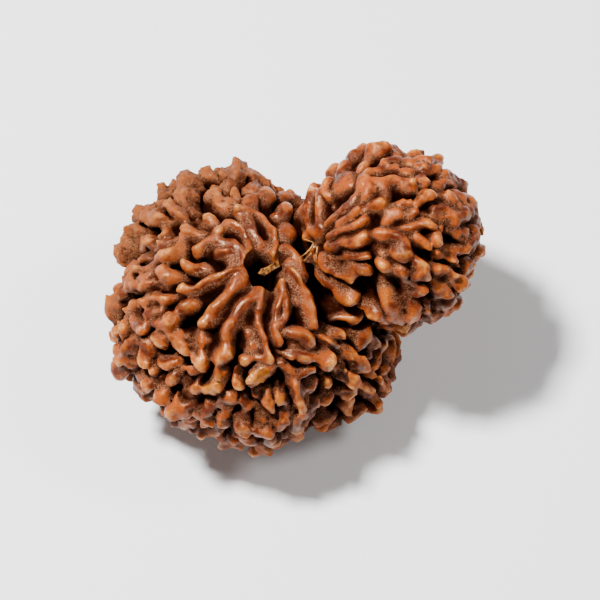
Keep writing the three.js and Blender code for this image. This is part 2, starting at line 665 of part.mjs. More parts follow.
function addColumnLump(grid, { root, top, rootRadius, topRadius }) {
  const [ax, ay, az] = root.toArray();
  const [bx, by, bz] = top.clone().sub(root).toArray();
  const square = bx * bx + by * by + bz * bz;
  const margin = Math.max(rootRadius, topRadius) + REACH + BEND_MOST;
  const low = root.clone().min(top).addScalar(-margin).toArray();
  const high = root.clone().max(top).addScalar(margin).toArray();
  const distance = (x, y, z) => {
    const [dx, dy, dz] = [x - ax, y - ay, z - az];
    const share = Math.min(1, Math.max(0, (dx * bx + dy * by + dz * bz) / square));
    const away = Math.hypot(dx - share * bx, dy - share * by, dz - share * bz);
    return away - rootRadius - share * (topRadius - rootRadius);
  };
  addLump(grid, low, high, distance);
}

// Distance out of the tapered stalk hole, positive inside the hole.
function holeDepth({ bead, shift, from, to, narrow, wide }, x, y, z) {
  const pole = new THREE.Vector3(...bead.pole).normalize();
  const place = new THREE.Vector3(x, y, z);
  place.sub(new THREE.Vector3(...bead.centre)).sub(new THREE.Vector3(...shift));
  const along = place.dot(pole);
  const away = place.addScaledVector(pole, -along).length();
  const share = Math.min(1, Math.max(0, (along - from) / (to - from)));
  const radius = narrow + share * (wide - narrow);
  return Math.min(radius - away, along - from);
}

// Signed height of the skin at every sample: positive inside the seed.
function skinLevels(grid) {
  const { sum, bent } = grid;
  const levels = new Float64Array(sum.length);
  for (let sample = 0; sample < sum.length; sample += 1) {
    let level = BLEND * Math.log(Math.max(sum[sample], LEAST_SUM));
    for (const hole of STALK_HOLES) {
      if (level > 0) {
        const [x, y, z] = bent.subarray(3 * sample, 3 * sample + 3);
        level = Math.min(level, -holeDepth(hole, x, y, z));
      }
    }
    levels[sample] = Math.abs(level) < LEAST_LEVEL ? LEAST_LEVEL : level;
  }
  return levels;
}

// Everything that joins a starting sample without crossing the skin.
function flood(counts, start, isOpen) {
  const reached = new Uint8Array(counts[0] * counts[1] * counts[2]);
  const steps = [1, counts[0], counts[0] * counts[1]];
  const queue = [start];
  reached[start] = 1;
  while (queue.length > 0) {
    const sample = queue.pop();
    const index = [
      sample % counts[0],
      Math.floor(sample / counts[0]) % counts[1],
      Math.floor(sample / steps[2]),
    ];
    for (let axis = 0; axis < 3; axis += 1) {
      for (const side of [-1, 1]) {
        const moved = index[axis] + side;
        const next = sample + side * steps[axis];
        if (moved >= 0 && moved < counts[axis] && !reached[next] && isOpen(next)) {
          reached[next] = 1;
          queue.push(next);
        }
      }
    }
  }
  return reached;
}

// Fills sealed hollows and drops loose scraps.
function makeOneBody(grid, levels) {
  const { counts } = grid;
  const outside = flood(counts, 0, (sample) => levels[sample] < 0);
  for (let sample = 0; sample < levels.length; sample += 1) {
    if (levels[sample] < 0 && !outside[sample]) {
      levels[sample] = HOLLOW_FILL;
    }
  }
  const middle = BIG_BEAD.centre.map((value, axis) => Math.round((value - GRID_LOW[axis]) / CELL));
  const heart = middle[0] + counts[0] * (middle[1] + counts[1] * middle[2]);
  const body = flood(counts, heart, (sample) => levels[sample] > 0);
  for (let sample = 0; sample < levels.length; sample += 1) {
    if (levels[sample] > 0 && !body[sample]) {
      levels[sample] = -HOLLOW_FILL;
    }
  }
}

// Where the skin would cross one face of a cell twice, corner to corner, the shallower of the
// two outside corners is filled, so that every cell has only one possible skin.
function fillDoubtfulFaces({ counts }, levels) {
  const steps = [1, counts[0], counts[0] * counts[1]];
  let changed = true;
  while (changed) {
    changed = false;
    for (let axis = 0; axis < 3; axis += 1) {
      const along = steps[axis];
      const across = steps[(axis + 1) % 3];
      for (let base = 0; base < levels.length - along - across; base += 1) {
        const corners = [base, base + along, base + along + across, base + across];
        const inside = corners.map((sample) => levels[sample] > 0);
        if (inside[0] === inside[2] && inside[1] === inside[3] && inside[0] !== inside[1]) {
          const open = inside[0] ? [corners[1], corners[3]] : [corners[0], corners[2]];
          const filled = levels[open[0]] > levels[open[1]] ? open[0] : open[1];
          levels[filled] = CORNER_FILL;
          changed = true;
        }
      }
    }
  }
}

// The twelve edges of a grid cell: the corner that each starts from, and its axis.
const CELL_EDGES = [
  [0, 0, 0, 0], [1, 0, 0, 1], [0, 1, 0, 0], [0, 0, 0, 1],
  [0, 0, 1, 0], [1, 0, 1, 1], [0, 1, 1, 0], [0, 0, 1, 1],
  [0, 0, 0, 2], [1, 0, 0, 2], [1, 1, 0, 2], [0, 1, 0, 2],
];
const CELL_CORNERS = [
  [0, 0, 0], [1, 0, 0], [1, 1, 0], [0, 1, 0],
  [0, 0, 1], [1, 0, 1], [1, 1, 1], [0, 1, 1],
];

// Marching cubes: the triangles of the skin, with shared vertices.
function skinMesh({ counts }, levels) {
  const steps = [1, counts[0], counts[0] * counts[1]];
  const positions = [];
  const triangles = [];
  const known = new Map();
  const vertexOn = (i, j, k, axis) => {
    const sample = i + steps[1] * j + steps[2] * k;
    const key = 3 * sample + axis;
    if (!known.has(key)) {
      const place = [i, j, k].map((index, way) => GRID_LOW[way] + index * CELL);
      const here = levels[sample];
      const there = levels[sample + steps[axis]];
      place[axis] += (CELL * here) / (here - there);
      known.set(key, positions.length / 3);
      positions.push(...place);
    }
    return known.get(key);
  };
  for (let k = 0; k < counts[2] - 1; k += 1) {
    for (let j = 0; j < counts[1] - 1; j += 1) {
      for (let i = 0; i < counts[0] - 1; i += 1) {
        const base = i + steps[1] * j + steps[2] * k;
        let shape = 0;
        CELL_CORNERS.forEach(([di, dj, dk], corner) => {
          const inside = levels[base + di + steps[1] * dj + steps[2] * dk] > 0;
          shape |= inside ? 1 << corner : 0;
        });
        if (edgeTable[shape] !== 0) {
          const corners = [];
          for (let slot = 16 * shape; triTable[slot] >= 0; slot += 1) {
            const [di, dj, dk, axis] = CELL_EDGES[triTable[slot]];
            corners.push(vertexOn(i + di, j + dj, k + dk, axis));
          }
          triangles.push(...corners.reverse());
        }
      }
    }
  }
  return { positions, triangles };
}

// A binary heap of edge collapses, cheapest first.
class Heap {
  constructor() {
    this.items = [];
  }

  push(item) {
    const { items } = this;
    let place = items.length;
    items.push(item);
    while (place > 0) {
      const parent = (place - 1) >> 1;
      if (items[parent].cost <= item.cost) break;
      items[place] = items[parent];
      place = parent;
    }
    items[place] = item;
  }

  pop() {
    const { items } = this;
    const first = items[0];
    const item = items.pop();
    if (items.length > 0) {
      let place = 0;
      for (;;) {
        let child = 2 * place + 1;
        if (child >= items.length) break;
        if (child + 1 < items.length && items[child + 1].cost < items[child].cost) child += 1;
        if (items[child].cost >= item.cost) break;
        items[place] = items[child];
        place = child;
      }
      items[place] = item;
    }
    return first;
  }
}

// Thins a closed mesh out by collapsing the edges whose loss moves its faces least. The error of a
// vertex is a symmetric 4 by 4 matrix, kept as the ten slots of its upper half.
const ERROR_SLOTS = 10;
class Thinner {
  constructor({ positions, triangles }) {
    this.points = [];
    for (let i = 0; i < positions.length; i += 3) {
      this.points.push(positions.slice(i, i + 3));
    }
    this.faces = [];
    for (let i = 0; i < triangles.length; i += 3) {
      this.faces.push(triangles.slice(i, i + 3));
    }
    this.facesAt = this.points.map(() => new Set());
    this.errors = this.points.map(() => new Float64Array(ERROR_SLOTS));
    this.stamps = new Int32Array(this.points.length);
    this.faces.forEach((face, index) => this.addFace(face, index));
  }

  offerAll() {
    this.heap = new Heap();
    this.faces.filter((face) => face !== null).forEach((face) => {
      for (let side = 0; side < 3; side += 1) {
        const [a, b] = [face[side], face[(side + 1) % 3]];
        if (a < b) this.offer(a, b);
      }
    });
  }

  addFace(face, index) {
    const [nx, ny, nz] = this.faceNormal(face);
    const area = Math.hypot(nx, ny, nz);
    const [px, py, pz] = this.points[face[0]];
    const plane = [nx / area, ny / area, nz / area];
    plane.push(-(plane[0] * px + plane[1] * py + plane[2] * pz));
    for (const corner of face) {
      this.facesAt[corner].add(index);
      let slot = 0;
      for (let row = 0; row < 4; row += 1) {
        for (let column = row; column < 4; column += 1) {
          this.errors[corner][slot] += area * plane[row] * plane[column];
          slot += 1;
        }
      }
    }
  }

  faceNormal([a, b, c], moved, place) {
    const [p, q, r] = [a, b, c].map((corner) => (corner === moved ? place : this.points[corner]));
    const [ux, uy, uz] = [q[0] - p[0], q[1] - p[1], q[2] - p[2]];
    const [vx, vy, vz] = [r[0] - p[0], r[1] - p[1], r[2] - p[2]];
    return [uy * vz - uz * vy, uz * vx - ux * vz, ux * vy - uy * vx];
  }

  // The place with the least error for a merged vertex, or the middle where that is unclear.
  bestPlace(error, start, end) {
    const [xx, xy, xz, xw, yy, yz, yw, zz, zw] = error;
    const middle = start.map((value, axis) => (value + end[axis]) / 2);
    const matrix = new THREE.Matrix3().set(xx, xy, xz, xy, yy, yz, xz, yz, zz);
    const scale = (xx + yy + zz) / 3;
    if (Math.abs(matrix.determinant()) < LEAST_DETERMINANT * scale ** 3) return middle;
    const place = new THREE.Vector3(-xw, -yw, -zw).applyMatrix3(matrix.invert()).toArray();
    const drift = Math.hypot(...place.map((value, axis) => value - middle[axis]));
    const length = Math.hypot(...start.map((value, axis) => value - end[axis]));
    return drift < MOST_DRIFT * length ? place : middle;
  }

  offer(a, b) {
    const error = this.errors[a].map((value, slot) => value + this.errors[b][slot]);
    const place = this.bestPlace(error, this.points[a], this.points[b]);
    const [x, y, z] = place;
    const [xx, xy, xz, xw, yy, yz, yw, zz, zw, ww] = error;
    const squares = xx * x * x + yy * y * y + zz * z * z + ww;
    const crosses = xy * x * y + xz * x * z + yz * y * z + xw * x + yw * y + zw * z;
    const cost = squares + 2 * crosses;
    this.heap.push({ cost, a, b, place, error, stampA: this.stamps[a], stampB: this.stamps[b] });
  }

  neighbours(vertex) {
    const found = new Set();
    for (const index of this.facesAt[vertex]) {
      this.faces[index].forEach((corner) => found.add(corner));
    }
    found.delete(vertex);
    return found;
  }

  // A collapse keeps the mesh one closed skin, and turns no face over.
  isSafe({ a, b, place }) {
    const aroundA = this.neighbours(a);
    const shared = [...this.neighbours(b)].filter((vertex) => aroundA.has(vertex));
    if (shared.length !== 2) return false;
    for (const vertex of [a, b]) {
      for (const index of this.facesAt[vertex]) {
        const face = this.faces[index];
        if (!(face.includes(a) && face.includes(b))) {
          const before = this.faceNormal(face);
          const after = this.faceNormal(face, vertex, place);
          const turn = before[0] * after[0] + before[1] * after[1] + before[2] * after[2];
          if (turn < LEAST_TURN * Math.hypot(...before) * Math.hypot(...after)) return false;
          const corners = face.map((corner) => (corner === vertex ? place : this.points[corner]));
          const longest = Math.max(...corners.map((corner, i) =>
            Math.hypot(...corner.map((value, axis) => value - corners[(i + 1) % 3][axis]))));
          if (Math.hypot(...after) < LEAST_WIDTH * longest * longest) return false;
        }
      }
    }
    return true;
  }

  collapse({ a, b, place, error }) {
    let lost = 0;
    for (const index of [...this.facesAt[b]]) {
      const face = this.faces[index];
      if (face.includes(a)) {
        face.forEach((corner) => this.facesAt[corner].delete(index));
        this.faces[index] = null;
        lost += 1;
      } else {
        face[face.indexOf(b)] = a;
        this.facesAt[a].add(index);
      }
    }
    this.facesAt[b].clear();
    this.points[a] = place;
    this.errors[a] = error;
    this.stamps[a] += 1;
    this.stamps[b] = -1;
    this.neighbours(a).forEach((vertex) => this.offer(Math.min(a, vertex), Math.max(a, vertex)));
    return lost;
  }

  // Edges that were not safe to collapse are offered again once the rest are done.
  thinTo(count) {
    let left = this.faces.length;
    let before = left + 1;
    while (left > count && left < before) {
      before = left;
      this.offerAll();
      while (left > count && this.heap.items.length > 0) {
        const edge = this.heap.pop();
        const fresh = this.stamps[edge.a] === edge.stampA && this.stamps[edge.b] === edge.stampB;
        if (fresh && this.stamps[edge.a] >= 0 && this.isSafe(edge)) {
          left -= this.collapse(edge);
        }
      }
    }
  }

  mesh() {
    const positions = [];
    const triangles = [];
    const renamed = new Map();
    for (const face of this.faces.filter((each) => each !== null)) {
      for (const corner of face) {
        if (!renamed.has(corner)) {
          renamed.set(corner, renamed.size);
          positions.push(...this.points[corner]);
        }
        triangles.push(renamed.get(corner));
      }
    }
    return { positions, triangles };
  }
}

// The ground plane as a slab, to cut the feet flat at z = 0.
function groundSlab() {
  const { width, depth } = GROUND;
  const slab = new THREE.BoxGeometry(width, width, depth).translate(0, 0, -depth / 2);
  slab.deleteAttribute('normal');
  slab.deleteAttribute('uv');
  const { position } = slab.attributes;
  const corners = new Map();
  const positions = [];
  const renamed = [];
  for (let i = 0; i < position.count; i += 1) {
    const corner = [position.getX(i), position.getY(i), position.getZ(i)];
    const key = corner.join();
    if (!corners.has(key)) {
      corners.set(key, corners.size);
      positions.push(...corner);
    }
    renamed.push(corners.get(key));
  }
  return { positions, triangles: Array.from(slab.index.array, (corner) => renamed[corner]) };
}

function toSolid({ positions, triangles }) {
  const mesh = new wasm.Mesh({
    numProp: 3,
    vertProperties: new Float32Array(positions),
    triVerts: new Uint32Array(triangles),
  });
  return new wasm.Manifold(mesh);
}

function toGeometry(solid) {
  const { vertProperties, triVerts } = solid.getMesh();
  const geometry = new THREE.BufferGeometry();
  geometry.setAttribute('position', new THREE.BufferAttribute(vertProperties, 3));
  geometry.setIndex(new THREE.BufferAttribute(triVerts, 1));
  geometry.computeVertexNormals();
  return geometry;
}

function joinedBeads() {
  const grid = makeGrid();
  BEADS.forEach((bead) => addCore(grid, bead));
  allColumns().forEach((column) => addColumnLump(grid, column));
  const levels = skinLevels(grid);
  makeOneBody(grid, levels);
  fillDoubtfulFaces(grid, levels);
  const thinner = new Thinner(skinMesh(grid, levels));
  thinner.thinTo(TRIANGLES);
  const solid = toSolid(thinner.mesh()).subtract(toSolid(groundSlab()));
  const material = new THREE.MeshStandardMaterial({
    color: 0x83492f,
    roughness: 0.5,
    metalness: 0,
  });
  const mesh = new THREE.Mesh(toGeometry(solid), material);
  mesh.name = 'joined_beads';
  return mesh;
}

const rudraksha = new THREE.Group();
rudraksha.add(joinedBeads());

export default rudraksha;
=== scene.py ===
import functools
import math
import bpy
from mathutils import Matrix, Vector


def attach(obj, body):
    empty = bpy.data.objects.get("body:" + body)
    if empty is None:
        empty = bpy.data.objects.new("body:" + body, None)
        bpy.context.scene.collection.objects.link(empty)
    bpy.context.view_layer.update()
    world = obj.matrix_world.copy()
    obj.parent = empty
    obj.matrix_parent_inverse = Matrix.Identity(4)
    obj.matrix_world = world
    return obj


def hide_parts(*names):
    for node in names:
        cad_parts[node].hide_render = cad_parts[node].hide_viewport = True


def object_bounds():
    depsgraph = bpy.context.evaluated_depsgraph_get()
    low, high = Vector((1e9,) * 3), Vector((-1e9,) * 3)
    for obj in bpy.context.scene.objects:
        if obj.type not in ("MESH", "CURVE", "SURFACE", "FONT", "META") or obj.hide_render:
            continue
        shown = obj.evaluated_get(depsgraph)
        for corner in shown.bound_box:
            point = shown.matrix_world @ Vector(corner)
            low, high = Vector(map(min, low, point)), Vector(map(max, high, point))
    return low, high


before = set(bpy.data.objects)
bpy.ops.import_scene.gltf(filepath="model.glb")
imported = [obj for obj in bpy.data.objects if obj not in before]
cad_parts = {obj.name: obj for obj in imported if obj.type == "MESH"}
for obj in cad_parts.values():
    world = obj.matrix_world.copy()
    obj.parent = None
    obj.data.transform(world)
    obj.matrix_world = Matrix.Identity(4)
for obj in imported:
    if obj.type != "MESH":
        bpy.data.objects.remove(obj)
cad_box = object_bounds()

from types import SimpleNamespace

import bpy
import numpy as np
import openvdb
from mathutils import Vector

# The seed's stony body. It is hard reddish-brown nut wood, grown as two beads and a swelling
# that run into each other, with ridges round each stalk end and nubs everywhere else.
# All sizes in this section are millimetres, and its bearings and polar angles are degrees.
MM = 0.001

# Each bead is an oval round its middle: its half sizes out to the crests and out to the solid
# core between them, the directions of its stalk end and of bearing 0, and the swells of its
# girth as bearing, spread and share.
BIG_BEAD = {
    "centre": (0, 0, 11.6),
    "crest": (15.0, 15.7, 11.6),
    "core": (12.4, 13.1, 8.3),
    "pole": (0.174, 0, 0.985),
    "zero": (1, 0, 0),
    "swells": [[69, 18, -0.24], [254, 15, -0.07], [130, 28, 0.03], [302, 7, -0.11], [172, 7, -0.08]],
}
SMALL_BEAD = {
    "centre": (14.95, 4.15, 19.19),
    "crest": (9.5, 9.5, 9.2),
    "core": (7.0, 7.0, 6.6),
    "pole": (-0.83, -0.2455, 0.5033),
    "zero": (0, 0.8988, 0.4384),
    "swells": [[20, 30, 0.06]],
}
SHOULDER = {
    "centre": (8.1, -3.7, 7.2),
    "crest": (7.9, 7.9, 7.4),
    "core": (6.0, 6.0, 5.5),
    "pole": (0.55, -0.75, 0.37),
    "zero": (0, 0, 1),
    "swells": [],
}
BEADS = [BIG_BEAD, SMALL_BEAD, SHOULDER]

# Ridges and nubs: half the width of the crest, its lift above the usual height, and the places that
# it runs through as bearing and polar angle. One place alone is a nub.
BIG_RIDGES = [
    # Walls and loops round the stalk hole.
    [0.6, 0.1, [220, 11], [190, 8], [168, 10], [160, 14], [160, 21], [161, 26], [168, 30]],
    [0.9, -0.35, [205, 14], [180, 13], [166, 17]],
    [0.45, 0.0, [172, 15], [173, 20]],
    [0.5, 0.1, [187, 8], [150, 7], [136, 11], [134, 17], [137, 24]],
    [0.5, 0.1, [137, 24], [146, 25], [155, 24]],
    [0.85, -0.15, [112, 6], [118, 9], [123, 17], [113, 24]],
    [0.5, 0.15, [40, 4], [54, 6], [76, 11], [89, 16], [101, 23], [109, 25], [117, 25]],
    [0.38, 0.05, [106, 6], [118, 13], [111, 18], [109, 23]],
    [0.9, -0.3, [80, 5], [89, 8]],
    # Long ridges that run out from the stalk hole towards the front.
    [0.5, 0.15, [211, 12], [204, 17], [202, 24], [200, 31], [198, 39]],
    [0.55, 0.0, [190, 24], [184, 28], [183, 33]],
    [0.95, 0.3, [222, 15], [224, 22], [226, 29], [226, 36]],
    [0.6, 0.1, [226, 38], [232, 45], [238, 52]],
    [0.5, 0.0, [222, 47], [230, 50], [237, 52]],
    [0.7, -0.5, [226, 42], [231, 47]],
    [0.85, 0.2, [253, 14], [247, 21], [244, 28], [243, 34], [244.5, 40], [244.5, 46.5]],
    [0.9, 0.3, [244.5, 45]],
    [0.45, 0.2, [257, 13], [263, 20], [267, 29], [270, 36], [273, 40]],
    [0.42, -0.1, [259, 38], [266, 40], [272, 40]],
    [0.9, -0.45, [255, 24], [259, 31], [264, 36]],
    [0.55, 0.15, [300, 11], [287, 17], [281, 23], [279, 28], [280, 33]],
    [0.5, 0.1, [295, 13], [297, 19], [291, 24], [283, 26]],
    [0.52, 0.3, [338, 11], [325, 16], [318, 24], [312, 33]],
    [0.7, -0.5, [318, 13], [309, 20]],
    [0.7, 0.25, [287, 30], [294, 32], [301, 34], [304, 38]],
    [1.0, 0.55, [291, 40], [297, 44], [303, 47], [308, 49.5]],
    [0.4, -0.3, [280, 37], [284, 39], [288, 41]],
    [0.5, 0.15, [311, 35], [316, 42], [318, 49], [322, 57], [326, 67]],
    [0.55, 0.15, [310, 51], [314, 59], [318, 68]],
    [0.5, -0.2, [320, 41], [324, 47]],
    [0.45, 0.2, [280, 42], [286, 50], [289, 58], [291, 66]],
    [0.42, -0.1, [290, 51], [296, 52]],
    # Teeth, nubs and plates below the ends of the long ridges.
    [0.42, -0.3, [263, 41], [258, 44]],
    [0.36, 0.0, [256, 50], [257, 55], [260, 58]],
    [0.4, -1.25, [258, 52], [264, 52]],
    [0.85, 0.2, [273, 44], [270, 47], [267, 50]],
    [0.4, 0.0, [266, 50], [265, 53]],
    [1.0, 0.2, [248, 58], [248, 65]],
    [0.4, 0.0, [247, 53]],
    [0.55, -0.3, [278, 54], [282, 63]],
    [0.65, -0.35, [275, 57], [277, 65]],
    [0.5, -0.55, [304, 52], [299, 55]],
    [0.45, -0.65, [307, 57], [304, 59]],
    [0.42, -0.65, [300, 57], [307, 65]],
    [0.5, -0.95, [300, 68], [297, 68]],
    [0.6, -0.45, [295, 72], [300, 81]],
    [0.5, -0.45, [285, 67], [285, 76]],
    [0.7, -0.45, [288, 75], [292, 91]],
    [0.8, -0.45, [293, 67], [294, 77], [300, 100]],
    [0.6, -0.95, [266, 65], [271, 69], [276, 75]],
    [1.2, -0.6, [255, 68], [255, 74]],
    [0.6, -0.35, [253, 74], [250, 81]],
    [0.6, -0.35, [258, 68], [261, 70]],
    [0.6, -0.35, [257, 72], [259, 77]],
    [0.7, 0.0, [252, 89]],
    [0.7, 0.0, [259, 84]],
    [0.9, 0.0, [267, 84]],
    [0.9, 0.0, [275, 83]],
    [0.9, 0.0, [270, 95]],
    [0.6, -0.45, [249, 76]],
    # The rim, teeth and long finger of the left side.
    [0.5, 0.15, [198, 40], [199, 44], [196, 50], [193, 56], [193, 68]],
    [0.72, 0.1, [193, 67], [196, 70], [202, 68], [205, 63]],
    [0.9, -0.5, [201, 54], [200, 61]],
    [0.52, 0.1, [205, 60], [209, 54], [217, 51], [226, 51]],
    [0.85, 0.2, [211, 49]],
    [0.7, 0.0, [215, 53], [215, 59]],
    [0.6, 0.0, [192, 77], [200, 77]],
    [0.6, 0.0, [195, 86]],
    [0.58, 0.1, [206, 72], [210, 68], [213, 71], [217, 75]],
    [0.9, 0.7, [208, 70], [208, 87], [208, 99]],
    [0.6, -0.1, [202, 79]],
    [0.6, 0.0, [203, 89]],
    [0.58, -0.35, [227, 62], [223, 69]],
    [0.45, -0.1, [221, 78]],
    [0.7, 0.0, [222, 87]],
    [0.8, 0.0, [229, 86]],
    [0.58, -0.35, [230, 64], [230, 73]],
    [0.6, -0.45, [230, 74], [234, 78], [240, 90]],
    [0.58, -0.45, [241, 71], [241, 79], [241, 88]],
    [1.2, -0.75, [236, 70], [237, 76]],
    [0.5, -0.35, [239, 59], [241, 68]],
    [0.8, 0.0, [237, 92]],
    [0.4, -0.95, [233, 55]],
    [0.75, -0.1, [208, 39]],
    [0.5, -0.4, [203, 42], [207, 44]],
    [1.1, 0.2, [160, 86]],
    [0.7, 0.0, [174, 72]],
    [0.7, 0.0, [170, 62]],
    [0.45, 0.0, [174, 49]],
    [0.45, 0.2, [182, 50], [178, 54], [177, 60]],
    [0.5, 0.0, [182, 55]],
    [0.5, 0.0, [180, 66]],
    [0.6, -0.1, [177, 64]],
    [0.85, 0.1, [188, 40], [186, 43], [184, 46]],
    [0.75, 0.1, [190, 48], [185, 56], [184, 66]],
    [0.8, 0.0, [183, 78], [182, 88], [186, 97]],
    # Teeth and knobs of the far left and the top.
    [1.2, 0.4, [140, 45], [132, 55], [125, 65]],
    [0.9, 0.1, [115, 64]],
    [0.7, 0.0, [144, 59], [134, 74]],
    [0.7, -0.2, [133, 65]],
    [1.2, 0.2, [146, 77]],
    [0.8, 0.1, [148, 67]],
    [0.6, 0.0, [155, 74]],
    [0.5, 0.6, [152, 37], [147, 44], [143, 51]],
    [0.5, 0.1, [150, 44], [151, 55]],
    [0.4, -0.2, [152, 53], [156, 50]],
    [0.45, 0.0, [158, 49], [161, 50]],
    [0.62, 0.1, [162, 41], [167, 51]],
    [0.45, 0.2, [154, 40], [167, 39], [173, 41], [175, 45]],
    [0.6, 0.2, [157, 30], [155, 38]],
    [0.6, -0.6, [144, 39]],
    [0.65, 0.0, [141, 31]],
    [0.5, 0.0, [164, 59]],
    [0.6, 0.0, [149, 60]],
    [0.6, -0.4, [79, 26]],
    [0.8, 0.1, [72, 32]],
    [1.0, -0.6, [82, 27], [72, 21], [62, 14]],
    [0.9, -0.5, [66, 24], [62, 17]],
    [0.6, -0.2, [45, 9], [22, 13], [2, 15]],
    [0.8, -0.4, [359, 11], [350, 16]],
    [0.7, -0.6, [30, 12], [10, 16]],
    [0.6, 0.0, [108, 57]],
    [0.8, 0.1, [103, 53]],
    [0.95, 0.2, [94, 54]],
    [0.75, 0.0, [97, 42]],
    [1.05, 0.2, [89, 37]],
    [0.85, 0.1, [101, 30]],
    [0.6, -0.2, [120, 38]],
    [1.1, -0.8, [118, 34]],
    [0.5, -0.3, [119, 34]],
    [0.5, -0.3, [123, 36]],
    [0.45, -0.3, [115, 33]],
    [0.5, -0.2, [110, 35]],
]
SMALL_RIDGES = [
    # Petals that open out from the stalk end.
    [0.4, 1.3, [46, 43], [62, 38], [76, 36], [92, 33]],
    [0.5, 0.7, [88, 20], [70, 31], [52, 38], [38, 42]],
    [0.7, 0.2, [106, 28], [90, 34]],
    [0.62, 0.35, [80, 11], [68, 24], [56, 34], [48, 41]],
    [0.85, 0.1, [56, 9], [30, 20], [23, 35]],
    [0.5, 0.25, [354, 22], [8, 29], [10, 38]],
    [0.62, 0.15, [345, 8], [327, 15], [324, 27], [325, 41], [327, 51]],
    [0.58, 0.25, [303, 18], [304, 26], [306, 34]],
    [0.66, 0.15, [280, 7], [288, 19], [291, 37]],
    [0.78, 0.2, [225, 8], [259, 20], [270, 36]],
    [0.42, -0.15, [205, 13], [242, 28], [248, 39]],
    [0.5, 0.1, [151, 14], [196, 21], [210, 35]],
    [0.95, -0.2, [175, 14], [213, 24], [222, 36]],
    [0.6, 0.0, [230, 28], [230, 40]],
    [0.78, 0.1, [135, 24], [177, 32], [188, 44]],
    [0.6, 0.0, [112, 15], [119, 30]],
    # Teeth, knobs and plates of the side that faces the front.
    [0.78, 0.25, [275, 47], [275, 57], [270, 64], [262, 62], [259, 59]],
    [0.58, 0.15, [277, 55], [280, 66], [280, 75], [278, 82]],
    [0.58, 0.1, [277, 68], [272, 72], [266, 78]],
    [0.58, 0.1, [278, 89], [273, 87], [269, 85]],
    [0.6, 0.1, [276, 93], [277, 102], [272, 110], [265, 116]],
    [0.5, 0.0, [266, 80], [260, 90], [260, 102], [262, 112]],
    [0.55, 0.1, [254, 59], [250, 64], [245, 62], [244, 55], [247, 48]],
    [0.7, -0.5, [248, 55], [250, 58]],
    [0.75, 0.2, [245, 59], [245.5, 63]],
    [0.92, 0.3, [258, 66], [252, 71], [245, 75]],
    [0.6, 0.1, [238, 57], [239, 66], [231, 79]],
    [0.52, 0.1, [248, 81], [246, 96], [242, 110]],
    [0.4, 0.0, [242, 110], [250, 110], [256, 98]],
    [0.5, 0.0, [243, 93], [240, 106]],
    [0.6, 0.1, [238, 84], [233, 98]],
    [0.95, 0.1, [224, 62], [214, 70], [206, 77]],
    [0.8, 0.0, [226, 75], [219, 80], [212, 86]],
    [0.5, 0.0, [225, 88], [214, 96], [206, 104]],
    [0.6, 0.1, [229, 98], [216, 106], [206, 114]],
    [0.6, 0.0, [232, 108], [223, 106]],
    [0.8, 0.0, [229, 117], [212, 119]],
    # Knobs and ridges between the petals and the upper rim.
    [0.6, 0.1, [301, 38], [302, 44], [303, 50]],
    [0.6, 0.1, [315, 34], [316, 43], [318, 48]],
    [0.45, 0.0, [330, 41], [332, 51]],
    [1.2, -0.1, [353, 42]],
    [0.6, 0.1, [9, 39], [3, 46], [6, 52]],
    [0.8, 0.5, [26, 54]],
    [0.7, 0.2, [39, 46]],
    [0.5, -0.1, [16, 65]],
    [0.7, 0.0, [12, 71]],
    [0.7, 0.1, [10, 62]],
    [0.5, 0.0, [347, 56]],
    [0.65, 0.7, [354, 73]],
    [0.7, 0.2, [338, 72]],
    [0.6, 0.1, [332, 54]],
    [0.55, 0.1, [332, 59]],
    [0.6, 0.1, [331, 65]],
    [0.55, 0.0, [330, 70]],
    [0.6, 0.0, [332, 82]],
    [0.7, 0.0, [324, 89]],
    [0.6, 0.0, [333, 96]],
    [0.6, 0.0, [322, 78]],
    [0.7, 0.1, [321, 96], [323, 104]],
    [0.9, 0.1, [316, 108]],
    [0.75, 0.1, [310, 98], [311, 110]],
    [0.8, 0.0, [300, 112]],
    [0.8, 0.0, [300, 121]],
    [0.6, 0.0, [292, 115]],
    [0.7, 0.1, [295, 128]],
    [0.8, 0.1, [287, 129]],
    [0.85, 0.1, [316, 64]],
    [0.75, 0.1, [318, 57]],
    [0.85, 0.1, [311, 73]],
    [0.7, -0.1, [308, 56]],
    [0.65, 0.0, [311, 85]],
    [0.55, 0.3, [295, 75], [299, 82]],
    [0.5, 0.0, [298, 57], [297, 67]],
    [0.5, 0.0, [295, 73]],
    [0.6, 0.0, [289, 67]],
    [0.5, 0.0, [294, 53], [289, 60]],
    [0.6, -0.1, [287, 55]],
    [0.6, 0.1, [287, 75], [284, 85], [285, 96], [285, 109]],
    [0.5, 0.1, [296, 87], [295, 100], [288, 110]],
    [1.1, -0.4, [290, 92]],
    [0.5, 0.0, [301, 89], [298, 101]],
    [0.6, 0.0, [282, 89], [283, 99]],
    # Nubs of the far right rim.
    [0.9, 0.1, [271, 119]],
    [0.9, 0.1, [251, 119]],
    [0.8, 0.0, [240, 117]],
    [0.85, 0.5, [206, 103]],
    [0.75, 0.1, [190, 91]],
]
SHOULDER_RIDGES = [
    # Crests that run in from the big bead, and the net of low ridges round them.
    [0.58, 0.2, [15, 17], [15, 1]],
    [0.6, 0.2, [203, 1], [203, 19]],
    [0.48, 0.1, [356, 33], [338, 23], [311, 19], [299, 25], [306, 34], [303, 43]],
    [0.42, 0.0, [336, 37], [338, 23]],
    [0.4, -0.1, [328, 42], [323, 31]],
    [0.42, 0.0, [335, 53], [344, 47], [356, 33]],
    [0.5, 0.0, [302, 52], [290, 50], [281, 40], [264, 35], [245, 40]],
    [0.48, 0.1, [322, 14], [266, 14], [234, 28], [240, 33], [269, 26]],
    [0.85, 0.0, [77, 16], [124, 22]],
    [0.7, 0.0, [150, 26]],
    [0.95, 0.2, [192, 36]],
    [0.6, 0.0, [222, 43]],
]


